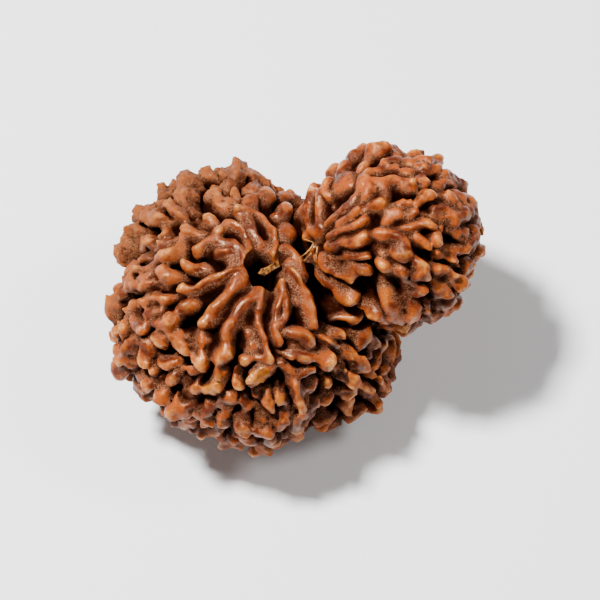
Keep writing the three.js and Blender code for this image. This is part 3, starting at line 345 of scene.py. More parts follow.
DRAW_FACTOR = 16807
DRAW_RANGE = 2**31 - 1


def make_draw(seed):
    """Repeatable random draws between 0 and 1."""
    state = seed

    def draw():
        nonlocal state
        state = (state * DRAW_FACTOR) % DRAW_RANGE
        return state / DRAW_RANGE

    return draw


def between(limits, share):
    return limits[0] + (limits[1] - limits[0]) * share


TINY = 1e-6
NEAR_MIDDLE = 0.01
LEAN = 0.4


def bead_axes(bead):
    """The directions of bearing 0, of bearing 90 and of the stalk end, as rows."""
    z = np.array(bead["pole"]) / np.linalg.norm(bead["pole"])
    x = np.array(bead["zero"]) - np.dot(bead["zero"], z) * z
    x /= np.linalg.norm(x)
    return np.array([x, np.cross(z, x), z])


def girth(bead, bearing, ring_share):
    """A bead's girth at a bearing as a share of its plain oval's. Swells fade at the poles."""
    share = 1.0
    for middle, spread, amount in bead["swells"]:
        turn = (bearing - middle + 540) % 360 - 180
        share = share + amount * np.exp(-((turn / spread) ** 2)) * ring_share ** 2
    return share


def crest_point(bead, bearing, polar):
    """The point at crest height on a bead, and the direction that a nub stands in there."""
    crest = np.array(bead["crest"])
    ring = math.sin(math.radians(polar))
    unit = np.array([
        ring * math.cos(math.radians(bearing)),
        ring * math.sin(math.radians(bearing)),
        math.cos(math.radians(polar)),
    ])
    wide = girth(bead, bearing, ring)
    axes = bead_axes(bead)
    point = np.array(bead["centre"]) + (crest * unit * [wide, wide, 1]) @ axes
    outward = unit / crest
    outward /= np.linalg.norm(outward)
    downward = np.array([0, 0, -1]) + outward * outward[2]
    outward = (outward + LEAN * downward) @ axes
    return point, outward / np.linalg.norm(outward)


def oval_level(bead, points, oval="core"):
    """Below 1 inside a bead's oval and above 1 outside it, with the slope of that level."""
    local = (points - np.array(bead["centre"])) @ bead_axes(bead).T / np.array(bead[oval])
    ring = np.hypot(local[..., 0], local[..., 1])
    whole = np.maximum(np.hypot(ring, local[..., 2]), NEAR_MIDDLE)
    bearing = np.degrees(np.arctan2(local[..., 1], local[..., 0]))
    wide = girth(bead, bearing, ring / whole)
    local = local / np.stack([wide, wide, np.ones_like(wide)], axis=-1)
    level = np.linalg.norm(local, axis=-1)
    slope = np.linalg.norm(local / np.array(bead[oval]), axis=-1)
    return level, np.maximum(slope, TINY)


def ridge_places(bead, path, step_length):
    """Places along a ridge's crest, each with its distance from both ends of the crest."""
    places = [path[0]]
    lengths = [0.0]
    for start, end in zip(path, path[1:]):
        gap = np.linalg.norm(crest_point(bead, *end)[0] - crest_point(bead, *start)[0])
        steps = math.ceil(gap / step_length)
        for step in range(1, steps + 1):
            share = step / steps
            places.append([between((start[0], end[0]), share), between((start[1], end[1]), share)])
            lengths.append(lengths[-1] + gap / steps)
    return [(place, length, lengths[-1] - length) for place, length in zip(places, lengths)]


# Every ridge and nub is a row of columns, each a root and a top with a radius at both.
# Plain columns stand for the ridges where the cover nubs look for room.
PLAIN_STEP = 0.5
ROOT_DEPTH = 3.4
ROOT_FLARE = 0.2
PLAIN_HALF = 0.58


def plain_columns(bead, ridge):
    """A ridge as plain columns: the tops and radii that the cover keeps clear of."""
    half, lift, *path = ridge
    half = max(half, PLAIN_HALF)
    columns = []
    for place, _, _ in ridge_places(bead, path, PLAIN_STEP):
        point, outward = crest_point(bead, *place)
        root, top = point - outward * ROOT_DEPTH, point + outward * (lift - half)
        columns.append((root, top, half + ROOT_FLARE, half))
    return columns


# A ridge has steep sides that end in eaves, and a roof that slopes in to a narrow crest. Its
# heel starts low, its nose is raised and swollen and hangs over its root, and its crest goes
# a little up and down on the way. A ridge that starts near the stalk end is slimmer, and its
# foot spreads into the valleys beside it. A nub given by one place is drawn out both ways.
FINE_STEP = 0.3
BODY_EXTRA = 0.22
BODY_DROP = 0.4
CREST_NARROW = 0.34
LEAST_CREST = 0.18
CREST_WAVE = 0.08
WAVE_PACE = (0.5, 0.8)
HEEL_DROP = 0.75
HEEL_LENGTH = 1.3
HEEL_SWELL = 0.6
NOSE_LENGTH = 1.0
NOSE_RAISE = 0.25
NOSE_SWELL = 0.12
NOSE_OVERHANG = 1.5
FULL_RISE_LENGTH = 3.0
RIM_POLAR = 22
RIM_SHARE = 0.3
RIM_TAPER = 0.74
RIM_DROP = 0.6
RIM_WEB = 1.4
SINGLE_TURN = 50
SINGLE_REACH = (0.2, 0.65)
LEAST_RING = 0.2


def short_path(bead, place, draw):
    """A nub's one place, drawn out into a short path that heads away from the stalk end."""
    bearing, polar = place
    turn = math.radians(SINGLE_TURN) * (2 * draw() - 1)
    reach = math.degrees(between(SINGLE_REACH, draw()) / bead["crest"][0])
    across = reach * math.sin(turn) / max(LEAST_RING, math.sin(math.radians(polar)))
    down = reach * math.cos(turn)
    return [[bearing - across, polar - down], [bearing + across, polar + down]]


def fine_ridge(bead, ridge, draw, extra=BODY_EXTRA, narrow=CREST_NARROW):
    """A ridge as two rows of columns: the body up to the eaves, and the roof up to the crest."""
    half, lift, *path = ridge
    if len(path) == 1:
        path = short_path(bead, path[0], draw)
    at_rim = path[0][1] < RIM_POLAR
    web, taper, drop = 0, 1, BODY_DROP
    if at_rim:
        extra *= RIM_SHARE
        narrow *= RIM_SHARE
        web, taper, drop = RIM_WEB, RIM_TAPER, RIM_DROP
    places = ridge_places(bead, path, FINE_STEP)
    crest = [crest_point(bead, *place) for place, _, _ in places]
    phase, pace = 2 * math.pi * draw(), between(WAVE_PACE, draw())
    columns = []
    for index, (_, behind, ahead) in enumerate(places):
        point, outward = crest[index]
        onward = crest[min(index + 1, len(crest) - 1)][0] - crest[max(index - 1, 0)][0]
        onward = onward / max(np.linalg.norm(onward), TINY)
        nose = math.exp(-((ahead / NOSE_LENGTH) ** 2))
        heel = math.exp(-((behind / NOSE_LENGTH) ** 2))
        full = max(nose, HEEL_SWELL * heel)
        top = max(half * taper * (1 + NOSE_SWELL * full) - narrow * (1 - full), LEAST_CREST)
        wave = 1 + math.sin(phase + 2 * math.pi * pace * behind)
        rise = 0 if at_rim else min(1, (behind + ahead) / FULL_RISE_LENGTH)
        high = lift - CREST_WAVE * (1 - full) * wave
        high += NOSE_RAISE * nose * rise
        high -= HEEL_DROP * rise * math.exp(-((behind / HEEL_LENGTH) ** 2)) * (1 - nose)
        wide = max(half, top) + extra * (1 - nose)
        eaves = point + outward * (high - wide - drop)
        root = point - outward * ROOT_DEPTH - onward * NOSE_OVERHANG * nose
        columns.append((root, eaves, wide + web * (1 - nose), wide))
        columns.append((eaves, point + outward * (high - top), wide, top))
    return columns


# Cover nubs fill what the placed ridges leave bare, in rings from one polar angle to another.
# Each strays from its place by a share of the spacing and turns by an angle in radians. It is
# left out where it would overlap a ridge, and stays low where it is crowded. Smaller grains
# of shell are grown on its sides.
BIG_COVER = {
    "seed": 71, "from": 34, "to": 176, "spacing": 3.1, "half": (0.65, 1.15), "lift": (-0.3, 0.35),
}
SMALL_COVER = {
    "seed": 23, "from": 44, "to": 172, "spacing": 2.8, "half": (0.6, 1.05), "lift": (-0.25, 0.3),
}
SHOULDER_COVER = {
    "seed": 47, "from": 6, "to": 130, "spacing": 2.6, "half": (0.65, 0.9), "lift": (-0.2, 0.2),
}
LEAST_IN_RING = 3
COVER_JITTER = 0.26
COVER_LENGTH = (0.3, 2.5)
COVER_TURN = 0.8
COVER_OVERLAP = 0.15
CROWDED_GAP = 0.7
CROWDED_LIFT = -0.7
COVER_SHRINK = 0.82
COVER_NARROW = 0.2
NUB_EXTRA = 0.1
GRAINS_PER_NUB = 3
GRAIN_SPREAD = 0.95
GRAIN_STRETCH = 1.2
GRAIN_HALF = (0.3, 0.55)
GRAIN_LIFT = (-1.3, -0.3)
GRAIN_LEAST_RING = 0.15


def cover_nubs(bead, cover, placed):
    """Nubs in staggered rings round the pole, wherever the placed ridges leave room."""
    draw = make_draw(cover["seed"])
    tops = np.array([top for _, top, _, _ in placed])
    radii = np.array([top_radius for _, _, _, top_radius in placed])
    others = [other for other in BEADS if other is not bead]
    size = bead["crest"][0]
    ring_step = math.degrees(cover["spacing"] / size)
    ring = cover["from"]
    nubs = []
    while ring <= cover["to"]:
        length_round = 2 * math.pi * size * math.sin(math.radians(ring))
        around = max(LEAST_IN_RING, math.floor(length_round / cover["spacing"] + 0.5))
        turn = draw()
        for i in range(around):
            bearing = (i + turn + COVER_JITTER * (2 * draw() - 1)) / around * 360
            polar = ring + ring_step * COVER_JITTER * (2 * draw() - 1)
            half = between(cover["half"], draw())
            lift = between(cover["lift"], draw())
            reach = math.degrees(between(COVER_LENGTH, draw()) / size) / 2
            heading = COVER_TURN * (2 * draw() - 1)
            down = reach * math.cos(heading)
            across = reach * math.sin(heading) / math.sin(math.radians(ring))
            point = crest_point(bead, bearing, polar)[0]
            gap = np.min(np.linalg.norm(tops - point, axis=1) - radii - half)
            buried = any(oval_level(other, point)[0] < 1 for other in others)
            if gap > -COVER_OVERLAP and not buried:
                start, end = [bearing - across, polar - down], [bearing + across, polar + down]
                nubs.append([half, CROWDED_LIFT if gap < CROWDED_GAP else lift, start, end])
        ring += ring_step
    return nubs


def fine_nub(bead, nub, draw):
    """A cover nub at its true size, with smaller grains of shell grown on its sides."""
    half, lift, start, end = nub
    body = [half * COVER_SHRINK, lift, start, end]
    columns = fine_ridge(bead, body, draw, NUB_EXTRA, COVER_NARROW)
    spread = math.degrees(half * GRAIN_SPREAD / bead["crest"][0])
    for _ in range(GRAINS_PER_NUB):
        turn = 2 * math.pi * draw()
        polar = (start[1] + end[1]) / 2 + spread * math.sin(turn) * GRAIN_STRETCH
        ring = max(GRAIN_LEAST_RING, math.sin(math.radians(polar)))
        bearing = (start[0] + end[0]) / 2 + spread * math.cos(turn) / ring
        size = between(GRAIN_HALF, draw())
        grain = [size, lift + between(GRAIN_LIFT, draw()), [bearing, polar]]
        columns += fine_ridge(bead, grain, draw, NUB_EXTRA)
    return columns


# The flat spot and the four low feet under the seed, each its place and the radius of its top.
FEET = [(0, 0, 2.2), (-3.9, 4.1, 1.0), (-4.1, -4.0, 1.0), (6.0, 4.9, 1.0), (9.6, -3.6, 1.3)]
FOOT_ROOT = 4.5
FOOT_INWARD = 0.85
FOOT_LIFT = 0.45
GRAIN_SEED = 5


def foot_column(foot):
    x, y, radius = foot
    root = np.array([x * FOOT_INWARD, y * FOOT_INWARD, FOOT_ROOT])
    top = np.array([x, y, FOOT_LIFT * radius])
    return (root, top, radius + ROOT_FLARE, radius)


def all_columns():
    """The columns of the feet, of the placed ridges and of the nubs that cover the rest."""
    feet = [foot_column(foot) for foot in FEET]
    draw = make_draw(GRAIN_SEED)
    plain = []
    columns = list(feet)
    for bead, ridges in zip(BEADS, (BIG_RIDGES, SMALL_RIDGES, SHOULDER_RIDGES)):
        for ridge in ridges:
            plain += plain_columns(bead, ridge)
            columns += fine_ridge(bead, ridge, draw)
    plain += feet
    for bead, cover in zip(BEADS, (BIG_COVER, SMALL_COVER, SHOULDER_COVER)):
        for nub in cover_nubs(bead, cover, plain):
            columns += fine_nub(bead, nub, draw)
    return columns


# The relief is a sum over a grid: each lump adds exp(-distance / BLEND), and the skin lies
# where the sum is 1. Past seven blends a lump adds under a thousandth, so only the grid round
# it is worked out. Slow waves bend the grid a little, so that no nub is a perfect cone. Each
# is its height, its pace, how many axes further on it runs, and where it starts on each axis.
GRID_LOW = np.array([-17.6, -17.8, -1.6])
GRID_HIGH = np.array([26.6, 18.2, 31.0])
CELL = 0.2
BLEND = 0.08
LUMP_REACH = 7 * BLEND
LUMP_DEPTH = 5 * BLEND
BEND_MOST = 0.65
BEND_WAVES = ((0.26, 0.9, 1, (1.3, 2.1, 0.2)), (0.12, 2.3, 2, (0.4, 1.7, 2.9)))
BEND_LUMPS = ((0.12, 1.9, 11), (0.03, 0.9, 21))
counts = np.ceil((GRID_HIGH - GRID_LOW) / CELL).astype(int) + 1
steps = [GRID_LOW[axis] + CELL * np.arange(counts[axis]) for axis in range(3)]
grid = np.meshgrid(*steps, indexing="ij")


def wander(size, seed):
    """Smooth random waves between -1 and 1 whose lumps are about size millimetres across."""
    lumps = np.ceil((GRID_HIGH - GRID_LOW) / size).astype(int) + 2
    waves = np.random.default_rng(seed).uniform(-1, 1, lumps)
    for axis in range(3):
        at = (steps[axis] - GRID_LOW[axis]) / size
        first = at.astype(int)
        share = at - first
        share = share * share * (3 - 2 * share)
        share = share.reshape([-1 if other == axis else 1 for other in range(3)])
        waves = np.take(waves, first, axis) * (1 - share) + np.take(waves, first + 1, axis) * share
    return waves.astype(np.float32)


def bend(axis):
    """The grid along one axis, shifted by two waves that run along the other two."""
    place = grid[axis]
    for height, pace, ahead, starts in BEND_WAVES:
        place = place + height * np.sin(pace * grid[(axis + ahead) % 3] + starts[axis])
    return place


bent = np.stack([bend(axis) for axis in range(3)], axis=-1).astype(np.float32)
for axis in range(3):
    lumps = (height * wander(size, seed + axis) for height, size, seed in BEND_LUMPS)
    bent[..., axis] += sum(lumps)
total = np.zeros(counts)


def grid_block(low, high, reach):
    """The part of the grid that lies within reach of the box from low to high."""
    first = np.maximum(0, np.ceil((low - reach - GRID_LOW) / CELL)).astype(int)
    last = np.minimum(counts - 1, np.floor((high + reach - GRID_LOW) / CELL)).astype(int)
    return tuple(slice(a, b + 1) for a, b in zip(first, last))


def add_lump(block, distance):
    total[block] += np.exp(-np.maximum(distance, -LUMP_DEPTH) / BLEND)


for bead in BEADS:
    middle = np.array(bead["centre"])
    block = grid_block(middle, middle, max(bead["core"]) + LUMP_REACH + BEND_MOST)
    oval, slope = oval_level(bead, bent[block])
    add_lump(block, oval * (oval - 1) / slope)

for root, top, root_radius, top_radius in all_columns():
    reach = max(root_radius, top_radius) + LUMP_REACH + BEND_MOST
    block = grid_block(np.minimum(root, top), np.maximum(root, top), reach)
    offset = bent[block] - root.astype(np.float32)
    along = (top - root).astype(np.float32)
    share = np.clip(offset @ along / np.dot(along, along), 0, 1)
    away = np.linalg.norm(offset - share[..., None] * along, axis=-1)
    add_lump(block, away - root_radius - share * (top_radius - root_radius))

# The skin is uneven, faceted and creased, least of all round the two stalk ends, where the
# ridges are long and sleek. The dry side at the back left is crusty too. Each kind is the
# height of its lumps, their size and their seed.
UNEVEN = ((0.04, 0.9, 31), (0.03, 0.45, 32))
FACETS = (0.4, 1.7, 33)
CREASES = (0.22, 0.75, 34)
CRUST = (0.28, 0.6, 35)
CREASE_LEVEL = 0.3
CALM_REACH = (5.5, 12.0)
CALM_LEAST = 0.3
DRY_SIDE = (-0.6, 0.8, 0)
CRUST_START = 3.0
CRUST_SPREAD = 8.0


def creased(height, size, seed, share=1):
    """Lumps that are parted by sharp creases, about size millimetres apart."""
    return height * share * (CREASE_LEVEL - np.abs(wander(size, seed)))


level = BLEND * np.log(np.maximum(total, TINY))
calm = 1.0
for bead in BEADS[:2]:
    stalk_end = np.array(bead["centre"]) + bead_axes(bead)[2] * bead["crest"][2]
    from_end = np.linalg.norm(bent - stalk_end.astype(np.float32), axis=-1)
    away = (from_end - CALM_REACH[0]) / (CALM_REACH[1] - CALM_REACH[0])
    calm = np.minimum(calm, np.clip(away, CALM_LEAST, 1))
uneven = sum(height * wander(size, seed) for height, size, seed in UNEVEN)
level += calm * (uneven + creased(*FACETS) + creased(*CREASES))
crusty = DRY_SIDE[1] * grid[1] + DRY_SIDE[0] * grid[0] - CRUST_START
level += creased(*CRUST, share=np.clip(crusty / CRUST_SPREAD, 0, 1))

# Crests are drawn up and creases cut in: the skin moves away from its own softened shape.
# Round the stalk ends it moves a little towards it, so the long ridges stay round.
SHARPEN = 0.7
SHARPEN_REACH = 0.4
SHARPEN_DEPTH = 0.45
SHARPEN_FINE = 0.25
SOFTEN = 0.2


def box_blur(values, radius):
    """Mean over a cube of the grid, taken along one axis after another."""
    width = 2 * radius + 1
    for axis in range(3):
        padding = [(0, 0)] * 3
        padding[axis] = (radius + 1, radius)
        summed = np.cumsum(np.pad(values, padding, mode="edge"), axis=axis)
        size = values.shape[axis]
        high = np.take(summed, range(width, width + size), axis=axis)
        low = np.take(summed, range(0, size), axis=axis)
        values = (high - low) / width
    return values


def soften(values, reach):
    """The grid's values, evened out over about reach millimetres."""
    radius = round(reach / CELL)
    return box_blur(box_blur(values, radius), radius)


near = np.clip(level, -SHARPEN_DEPTH, SHARPEN_DEPTH)
share = SHARPEN - (SHARPEN + SOFTEN) * (1 - calm) / (1 - CALM_LEAST)
level += share * (near - soften(near, SHARPEN_REACH))
near = np.clip(level, -SHARPEN_DEPTH, SHARPEN_DEPTH)
level += SHARPEN_FINE * (near - box_blur(near, 1))

# Both stalk holes are blind and widen to their mouths. Each is its bead, its shift from the
# bead's middle, how far along the pole its bottom and its mouth lie, and its radius at both.
STALK_HOLES = [
    (BIG_BEAD, (-0.4, -1.0, 0), 4.0, 11.5, 1.2, 2.0),
    (SMALL_BEAD, (0, 0, 0), 4.5, 10.0, 0.4, 0.8),
]
for bead, shift, bottom, mouth, narrow, wide in STALK_HOLES:
    pole = bead_axes(bead)[2]
    offset = bent - (np.array(bead["centre"]) + np.array(shift)).astype(np.float32)
    along = offset @ pole
    away = np.linalg.norm(offset - along[..., None] * pole, axis=-1)
    radius = narrow + np.clip((along - bottom) / (mouth - bottom), 0, 1) * (wide - narrow)
    level = np.minimum(level, -np.minimum(radius - away, along - bottom))
level = np.minimum(level, grid[2])

# The skin becomes one closed mesh that stays within the solid part's box.
MOST_TRIANGLES = 195000


def largest_island(points, quads):
    """Keeps the one body, without sealed hollows inside it or loose scraps beside it."""
    label = np.arange(len(points))
    while True:
        lowest = label[quads].min(axis=1)
        fresh = label.copy()
        np.minimum.at(fresh, quads.ravel(), np.repeat(lowest, 4))
        fresh = fresh[fresh]
        if np.array_equal(fresh, label):
            break
        label = fresh
    names, sizes = np.unique(label, return_counts=True)
    keep = label == names[np.argmax(sizes)]
    renamed = np.cumsum(keep) - 1
    return points[keep], renamed[quads[keep[quads[:, 0]]]]


volume = openvdb.FloatGrid(CELL)
volume.copyFromArray((-level).astype(np.float32))
points, quads = volume.convertToQuads(isovalue=0.0)
points, quads = largest_island(points * CELL + GRID_LOW, quads)
points = np.clip(points, np.array(cad_box[0]) / MM, np.array(cad_box[1]) / MM)
seed_mesh = bpy.data.meshes.new("joined_beads_fine")
seed_mesh.from_pydata((points * MM).tolist(), [], quads[:, ::-1].tolist())
seed_mesh.update()
seed = bpy.data.objects.new("joined_beads_fine", seed_mesh)
bpy.context.scene.collection.objects.link(seed)

triangles = 2 * len(seed_mesh.polygons)
if triangles > MOST_TRIANGLES:
    thin = seed.modifiers.new("thin", "DECIMATE")
    thin.ratio = MOST_TRIANGLES / triangles
    thinned = seed.evaluated_get(bpy.context.evaluated_depsgraph_get())
    seed.data = bpy.data.meshes.new_from_object(thinned)
    seed.modifiers.clear()
seed.data.shade_smooth()

# Marks at the mesh's corners, which the finish goes by. The share of wood within reach of a
# corner is low on a crest or a tip and high in a hollow. The depth is taken from the crests,
# and clean is how much handling has worn the wood there.
EDGE_REACH = 0.5
TIP_REACH = 0.85
HOLLOW_REACH = 1.3
FLAT_SHARE = 0.5
SHARP_SPAN = 0.3
HOLLOW_START = 0.30
HOLLOW_SPAN = 0.45
CLEAN_BY_EDGE = 0.55
CLEAN_BY_TIP = 0.45
CLEAN_DEPTHS = (-0.3, 0.5, 1.6)
CLEAN_AT_DEPTHS = (0.22, 0.04, -0.35)


def sample(values, places):
    """The grid's values at places given in millimetres, blended between its samples."""
    at = (places - GRID_LOW) / CELL
    first = np.clip(np.floor(at).astype(int), 0, counts - 2)
    share = at - first
    result = np.zeros(len(places))
    for corner in range(8):
        step = np.array([corner & 1, corner >> 1 & 1, corner >> 2 & 1])
        weight = np.prod(np.where(step, share, 1 - share), axis=1)
        index = first + step
        result += weight * values[index[:, 0], index[:, 1], index[:, 2]]
    return result


corners = np.array([vertex.co for vertex in seed.data.vertices]) / MM
solid_share = np.clip(level / CELL + FLAT_SHARE, 0, 1).astype(np.float32)


def wood_share(reach):
    return sample(soften(solid_share, reach), corners)


outsides = []
for bead in BEADS:
    oval, slope = oval_level(bead, corners, "crest")
    outsides.append(oval * (oval - 1) / slope)
marks = {
    "edge": np.clip((FLAT_SHARE - wood_share(EDGE_REACH)) / SHARP_SPAN, -1, 1),
    "tip": np.clip((FLAT_SHARE - wood_share(TIP_REACH)) / SHARP_SPAN, -1, 1),
    "hollow": np.clip((wood_share(HOLLOW_REACH) - HOLLOW_START) / HOLLOW_SPAN, 0, 1),
    "depth": -np.min(outsides, axis=0),
}
marks["clean"] = CLEAN_BY_EDGE * marks["edge"] + CLEAN_BY_TIP * marks["tip"]
marks["clean"] += np.interp(marks["depth"], CLEAN_DEPTHS, CLEAN_AT_DEPTHS)
for name, values in marks.items():
    attribute = seed.data.attributes.new(name, "FLOAT", "POINT")
    attribute.data.foreach_set("value", values.astype(np.float32))


DOT_EDGE = (1.2, 0.6)
NOISE_SPAN = (0.3, 0.7)


class Finish:
    """A material whose one shader is fed by nodes. Sizes of noises and dots are millimetres."""

    def __init__(self, name):
        self.material = bpy.data.materials.new(name)
        self.material.use_nodes = True
        self.tree = self.material.node_tree
        self.shader = self.tree.nodes["Principled BSDF"]
        self.place = self.add("ShaderNodeTexCoord", {})["Object"]

    def feed(self, socket, value):
        """Links another node's value to a socket, or sets it to a plain value."""
        if isinstance(value, bpy.types.NodeSocket):
            self.tree.links.new(value, socket)
        else:
            socket.default_value = value

    def add(self, kind, sockets, **settings):
        """A new node with its settings made and its sockets fed. Gives back its outputs."""
        node = self.tree.nodes.new(kind)
        for name, value in settings.items():
            setattr(node, name, value)
        for name, value in sockets.items():
            self.feed(node.inputs[name], value)
        return node.outputs

    def mark(self, name):
        """A value that the mesh carries at its corners."""
        return self.add("ShaderNodeAttribute", {}, attribute_name=name)["Fac"]

    def noise(self, size, detail=4.0, roughness=0.55):
        """A noise whose lumps are about size across."""
        sockets = {"Vector": self.place, "Scale": 1 / (size * MM)}
        sockets |= {"Detail": detail, "Roughness": roughness}
        return self.add("ShaderNodeTexNoise", sockets)["Fac"]

    def cells(self, size):
        """Rounded cells that are about size across."""
        return self.add("ShaderNodeTexVoronoi", {"Vector": self.place, "Scale": 1 / (size * MM)})

    def measure(self, operation, vector):
        sockets = {0: self.place, 1: vector}
        return self.add("ShaderNodeVectorMath", sockets, operation=operation)["Value"]

    def reach(self, centre):
        """The distance in metres from a centre that is given in millimetres."""
        return self.measure("DISTANCE", np.array(centre) * MM)

    def along(self, direction):
        """How far along a direction a place on the surface lies, in metres."""
        return self.measure("DOT_PRODUCT", direction)

    def spread(self, value, low, high, to_low=0.0, to_high=1.0):
        """Lays a value's run from low to high out from to_low to to_high, and holds it beyond."""
        sockets = {"Value": value, "From Min": low, "From Max": high}
        sockets |= {"To Min": to_low, "To Max": to_high}
        return self.add("ShaderNodeMapRange", sockets)["Result"]

    def work_out(self, operation, first, second):
        return self.add("ShaderNodeMath", {0: first, 1: second}, operation=operation)["Value"]

    def times(self, first, second):
        return self.work_out("MULTIPLY", first, second)

    def plus(self, first, second):
        return self.work_out("ADD", first, second)

    def most(self, first, second):
        return self.work_out("MAXIMUM", first, second)

    def strayed(self, value, noise, amount, span=NOISE_SPAN):
        """A value moved up or down by at most amount, as a noise goes."""
        return self.plus(value, self.spread(noise, *span, -amount, amount))

    def mix(self, share, first, second):
        """The first colour where the share is 0, and the second where it is 1."""
        first, second = ((*end, 1) if isinstance(end, tuple) else end for end in (first, second))
        sockets = {"Factor": share, "A": first, "B": second}
        return self.add("ShaderNodeMix", sockets, data_type="RGBA")["Result"]

    def dots(self, spacing, radius, least):
        """Small round dots, about spacing apart, where a random draw is above least."""
        cells = self.cells(spacing)
        drawn = self.add("ShaderNodeSeparateColor", {"Color": cells["Color"]})["Red"]
        outer, inner = (radius / spacing * share for share in DOT_EDGE)
        dots = self.spread(cells["Distance"], outer, inner)
        return self.times(dots, self.work_out("GREATER_THAN", drawn, least))


# What the wood's finish goes by: noises of several sizes, the marks on the mesh and the place
# on the seed, strayed by a noise so that nothing ends in a line. Here and below, a range is
# the two values that something runs between, and then what it comes to at each, or 0 and 1.
PATCH_SIZE = 2.6
RIPPLE_SIZE = 0.9
GRAIN_SIZE = 0.45
PORE_SIZE = 0.19
SPECK_SIZE = 0.12
CREST_STRAY = 0.12
TIP_STRAY = 0.15
TIP_SPAN = (0.35, 0.65)
HOLLOW_STRAY = 0.10
DEPTH_STRAY = 0.3
BIG_HOLE_MOUTH = (1, -2, 23)
DRY_STRAY = 4.0 * MM
DRY_RANGE = (2.0 * MM, 13.0 * MM)
UPWARD = (0, 0, 1)
LOW_RANGE = (13.0 * MM, 3.0 * MM)


def wood_clues(finish):
    """The marks on the mesh, the noises and the places that the wood's finish goes by."""
    clues = SimpleNamespace()
    clues.patches = finish.noise(PATCH_SIZE)
    clues.ripple = finish.noise(RIPPLE_SIZE, detail=3)
    clues.grain = finish.noise(GRAIN_SIZE, detail=6, roughness=0.65)
    clues.specks = finish.noise(SPECK_SIZE, detail=2, roughness=0.7)
    clues.pores = finish.noise(PORE_SIZE, detail=3, roughness=0.7)
    clues.edge = finish.strayed(finish.mark("edge"), clues.ripple, CREST_STRAY)
    clues.clean = finish.strayed(finish.mark("clean"), clues.ripple, CREST_STRAY)
    clues.tip = finish.strayed(finish.mark("tip"), clues.patches, TIP_STRAY, TIP_SPAN)
    clues.hollow = finish.strayed(finish.mark("hollow"), clues.grain, HOLLOW_STRAY)
    clues.depth = finish.strayed(finish.mark("depth"), clues.grain, DEPTH_STRAY)
    clues.from_hole = finish.reach(BIG_HOLE_MOUTH)
    backward = finish.strayed(finish.along(DRY_SIDE), clues.patches, DRY_STRAY)
    clues.dry = finish.spread(backward, *DRY_RANGE)
    clues.low = finish.spread(finish.along(UPWARD), *LOW_RANGE)
    return clues


FLANK_PURPLE = (0.055, 0.012, 0.006)
FLANK_BROWN = (0.12, 0.032, 0.012)
CREST_RED = (0.075, 0.011, 0.003)
CREST_ORANGE = (0.28, 0.052, 0.007)
NOSE_ORANGE = (0.33, 0.070, 0.008)
NOSE_YELLOW = (0.60, 0.22, 0.038)
DUST_BEIGE = (0.36, 0.17, 0.085)
# Dark brown of pores and dots, also used as painted shade in grooves and low down.
PORE_AND_SHADE_BROWN = (0.026, 0.0035, 0.001)
FLANK_PATCHES = (0.40, 0.60)
FLANK_SPECKS = (0.50, 0.62)
FLANK_GRAIN = (0.38, 0.60)
FLANK_PORES = (0.53, 0.66, 0.0, 0.9)
CREST_PATCHES = (0.43, 0.55)
CREST_RANGE = (0.10, 0.36)
NOSE_PATCHES = (0.45, 0.65)
NOSE_RANGE = (0.5, 0.95)


def bare_wood(finish, clues):
    """Dull brown flanks with pale dust and dark pores, red to orange crests, yellower noses."""
    flank = finish.mix(finish.spread(clues.patches, *FLANK_PATCHES), FLANK_PURPLE, FLANK_BROWN)
    dusty = finish.spread(clues.specks, *FLANK_SPECKS)
    dusty = finish.times(dusty, finish.spread(clues.grain, *FLANK_GRAIN))
    flank = finish.mix(dusty, flank, DUST_BEIGE)
    flank = finish.mix(finish.spread(clues.pores, *FLANK_PORES), flank, PORE_AND_SHADE_BROWN)
    crest = finish.mix(finish.spread(clues.patches, *CREST_PATCHES), CREST_RED, CREST_ORANGE)
    nose = finish.mix(finish.spread(clues.ripple, *NOSE_PATCHES), NOSE_ORANGE, NOSE_YELLOW)
    wood = finish.mix(finish.spread(clues.clean, *CREST_RANGE), flank, crest)
    return finish.mix(finish.spread(clues.tip, *NOSE_RANGE), wood, nose)


# The pale brown of the back left: partly dry, dusty wood and partly painted light from the upper left.
DRY_AND_LIT_BROWN = (0.22, 0.074, 0.027)
DUSKY_PURPLE = (0.085, 0.016, 0.008)
DRY_AND_LIT_SHARE = 0.6
DUSKY_REACH = (4.5 * MM, 12.0 * MM, 0.85, 0.0)
DUSKY_CLEAN = (0.0, 0.35, 1.0, 0.5)
FILM_SPECKS = (0.46, 0.60)
FILM_RANGE = (0.34, 0.08)
SETTLED_REACH = (6.0 * MM, 14.0 * MM, 0.9, 0.0)
SETTLED_PATCHES = (0.40, 0.58, 0.1, 0.6)


def weathered(finish, clues, wood):
    """Wood that is paler at the back left, partly dry and dusty and partly painted light from the upper
    left, dusky round the stalk hole, and dusty there and in patches.
    """
    # Painted light mixed with dryness: the back left is paler, partly as dry wood and partly as light
    # falling from the upper left.
    wood = finish.mix(finish.times(clues.dry, DRY_AND_LIT_SHARE), wood, DRY_AND_LIT_BROWN)
    dusky = finish.spread(clues.from_hole, *DUSKY_REACH)
    dusky = finish.times(dusky, finish.spread(clues.clean, *DUSKY_CLEAN))
    wood = finish.mix(dusky, wood, DUSKY_PURPLE)
    film = finish.spread(clues.specks, *FILM_SPECKS)
    film = finish.times(film, finish.spread(clues.clean, *FILM_RANGE))
    settled = finish.spread(clues.from_hole, *SETTLED_REACH)
    settled = finish.most(settled, finish.spread(clues.patches, *SETTLED_PATCHES))
    return finish.mix(finish.times(film, settled), wood, DUST_BEIGE)


# Pale nubs near the front, each its bearing and polar angle, its radius and how pale it is.
BONE_YELLOW = (0.46, 0.145, 0.008)
PALE_NUBS = (
    (248, 58, 0.8, 0.6),
    (248, 64, 1.1, 1.0),
    (269, 48, 1.1, 1.0),
    (239, 64, 0.7, 0.5),
    (279, 60, 0.8, 0.4),
)
PALE_STRAY = 0.3
PALE_EDGE = (0.7, 1.15)
PALE_TIPS = (0.0, 0.7)


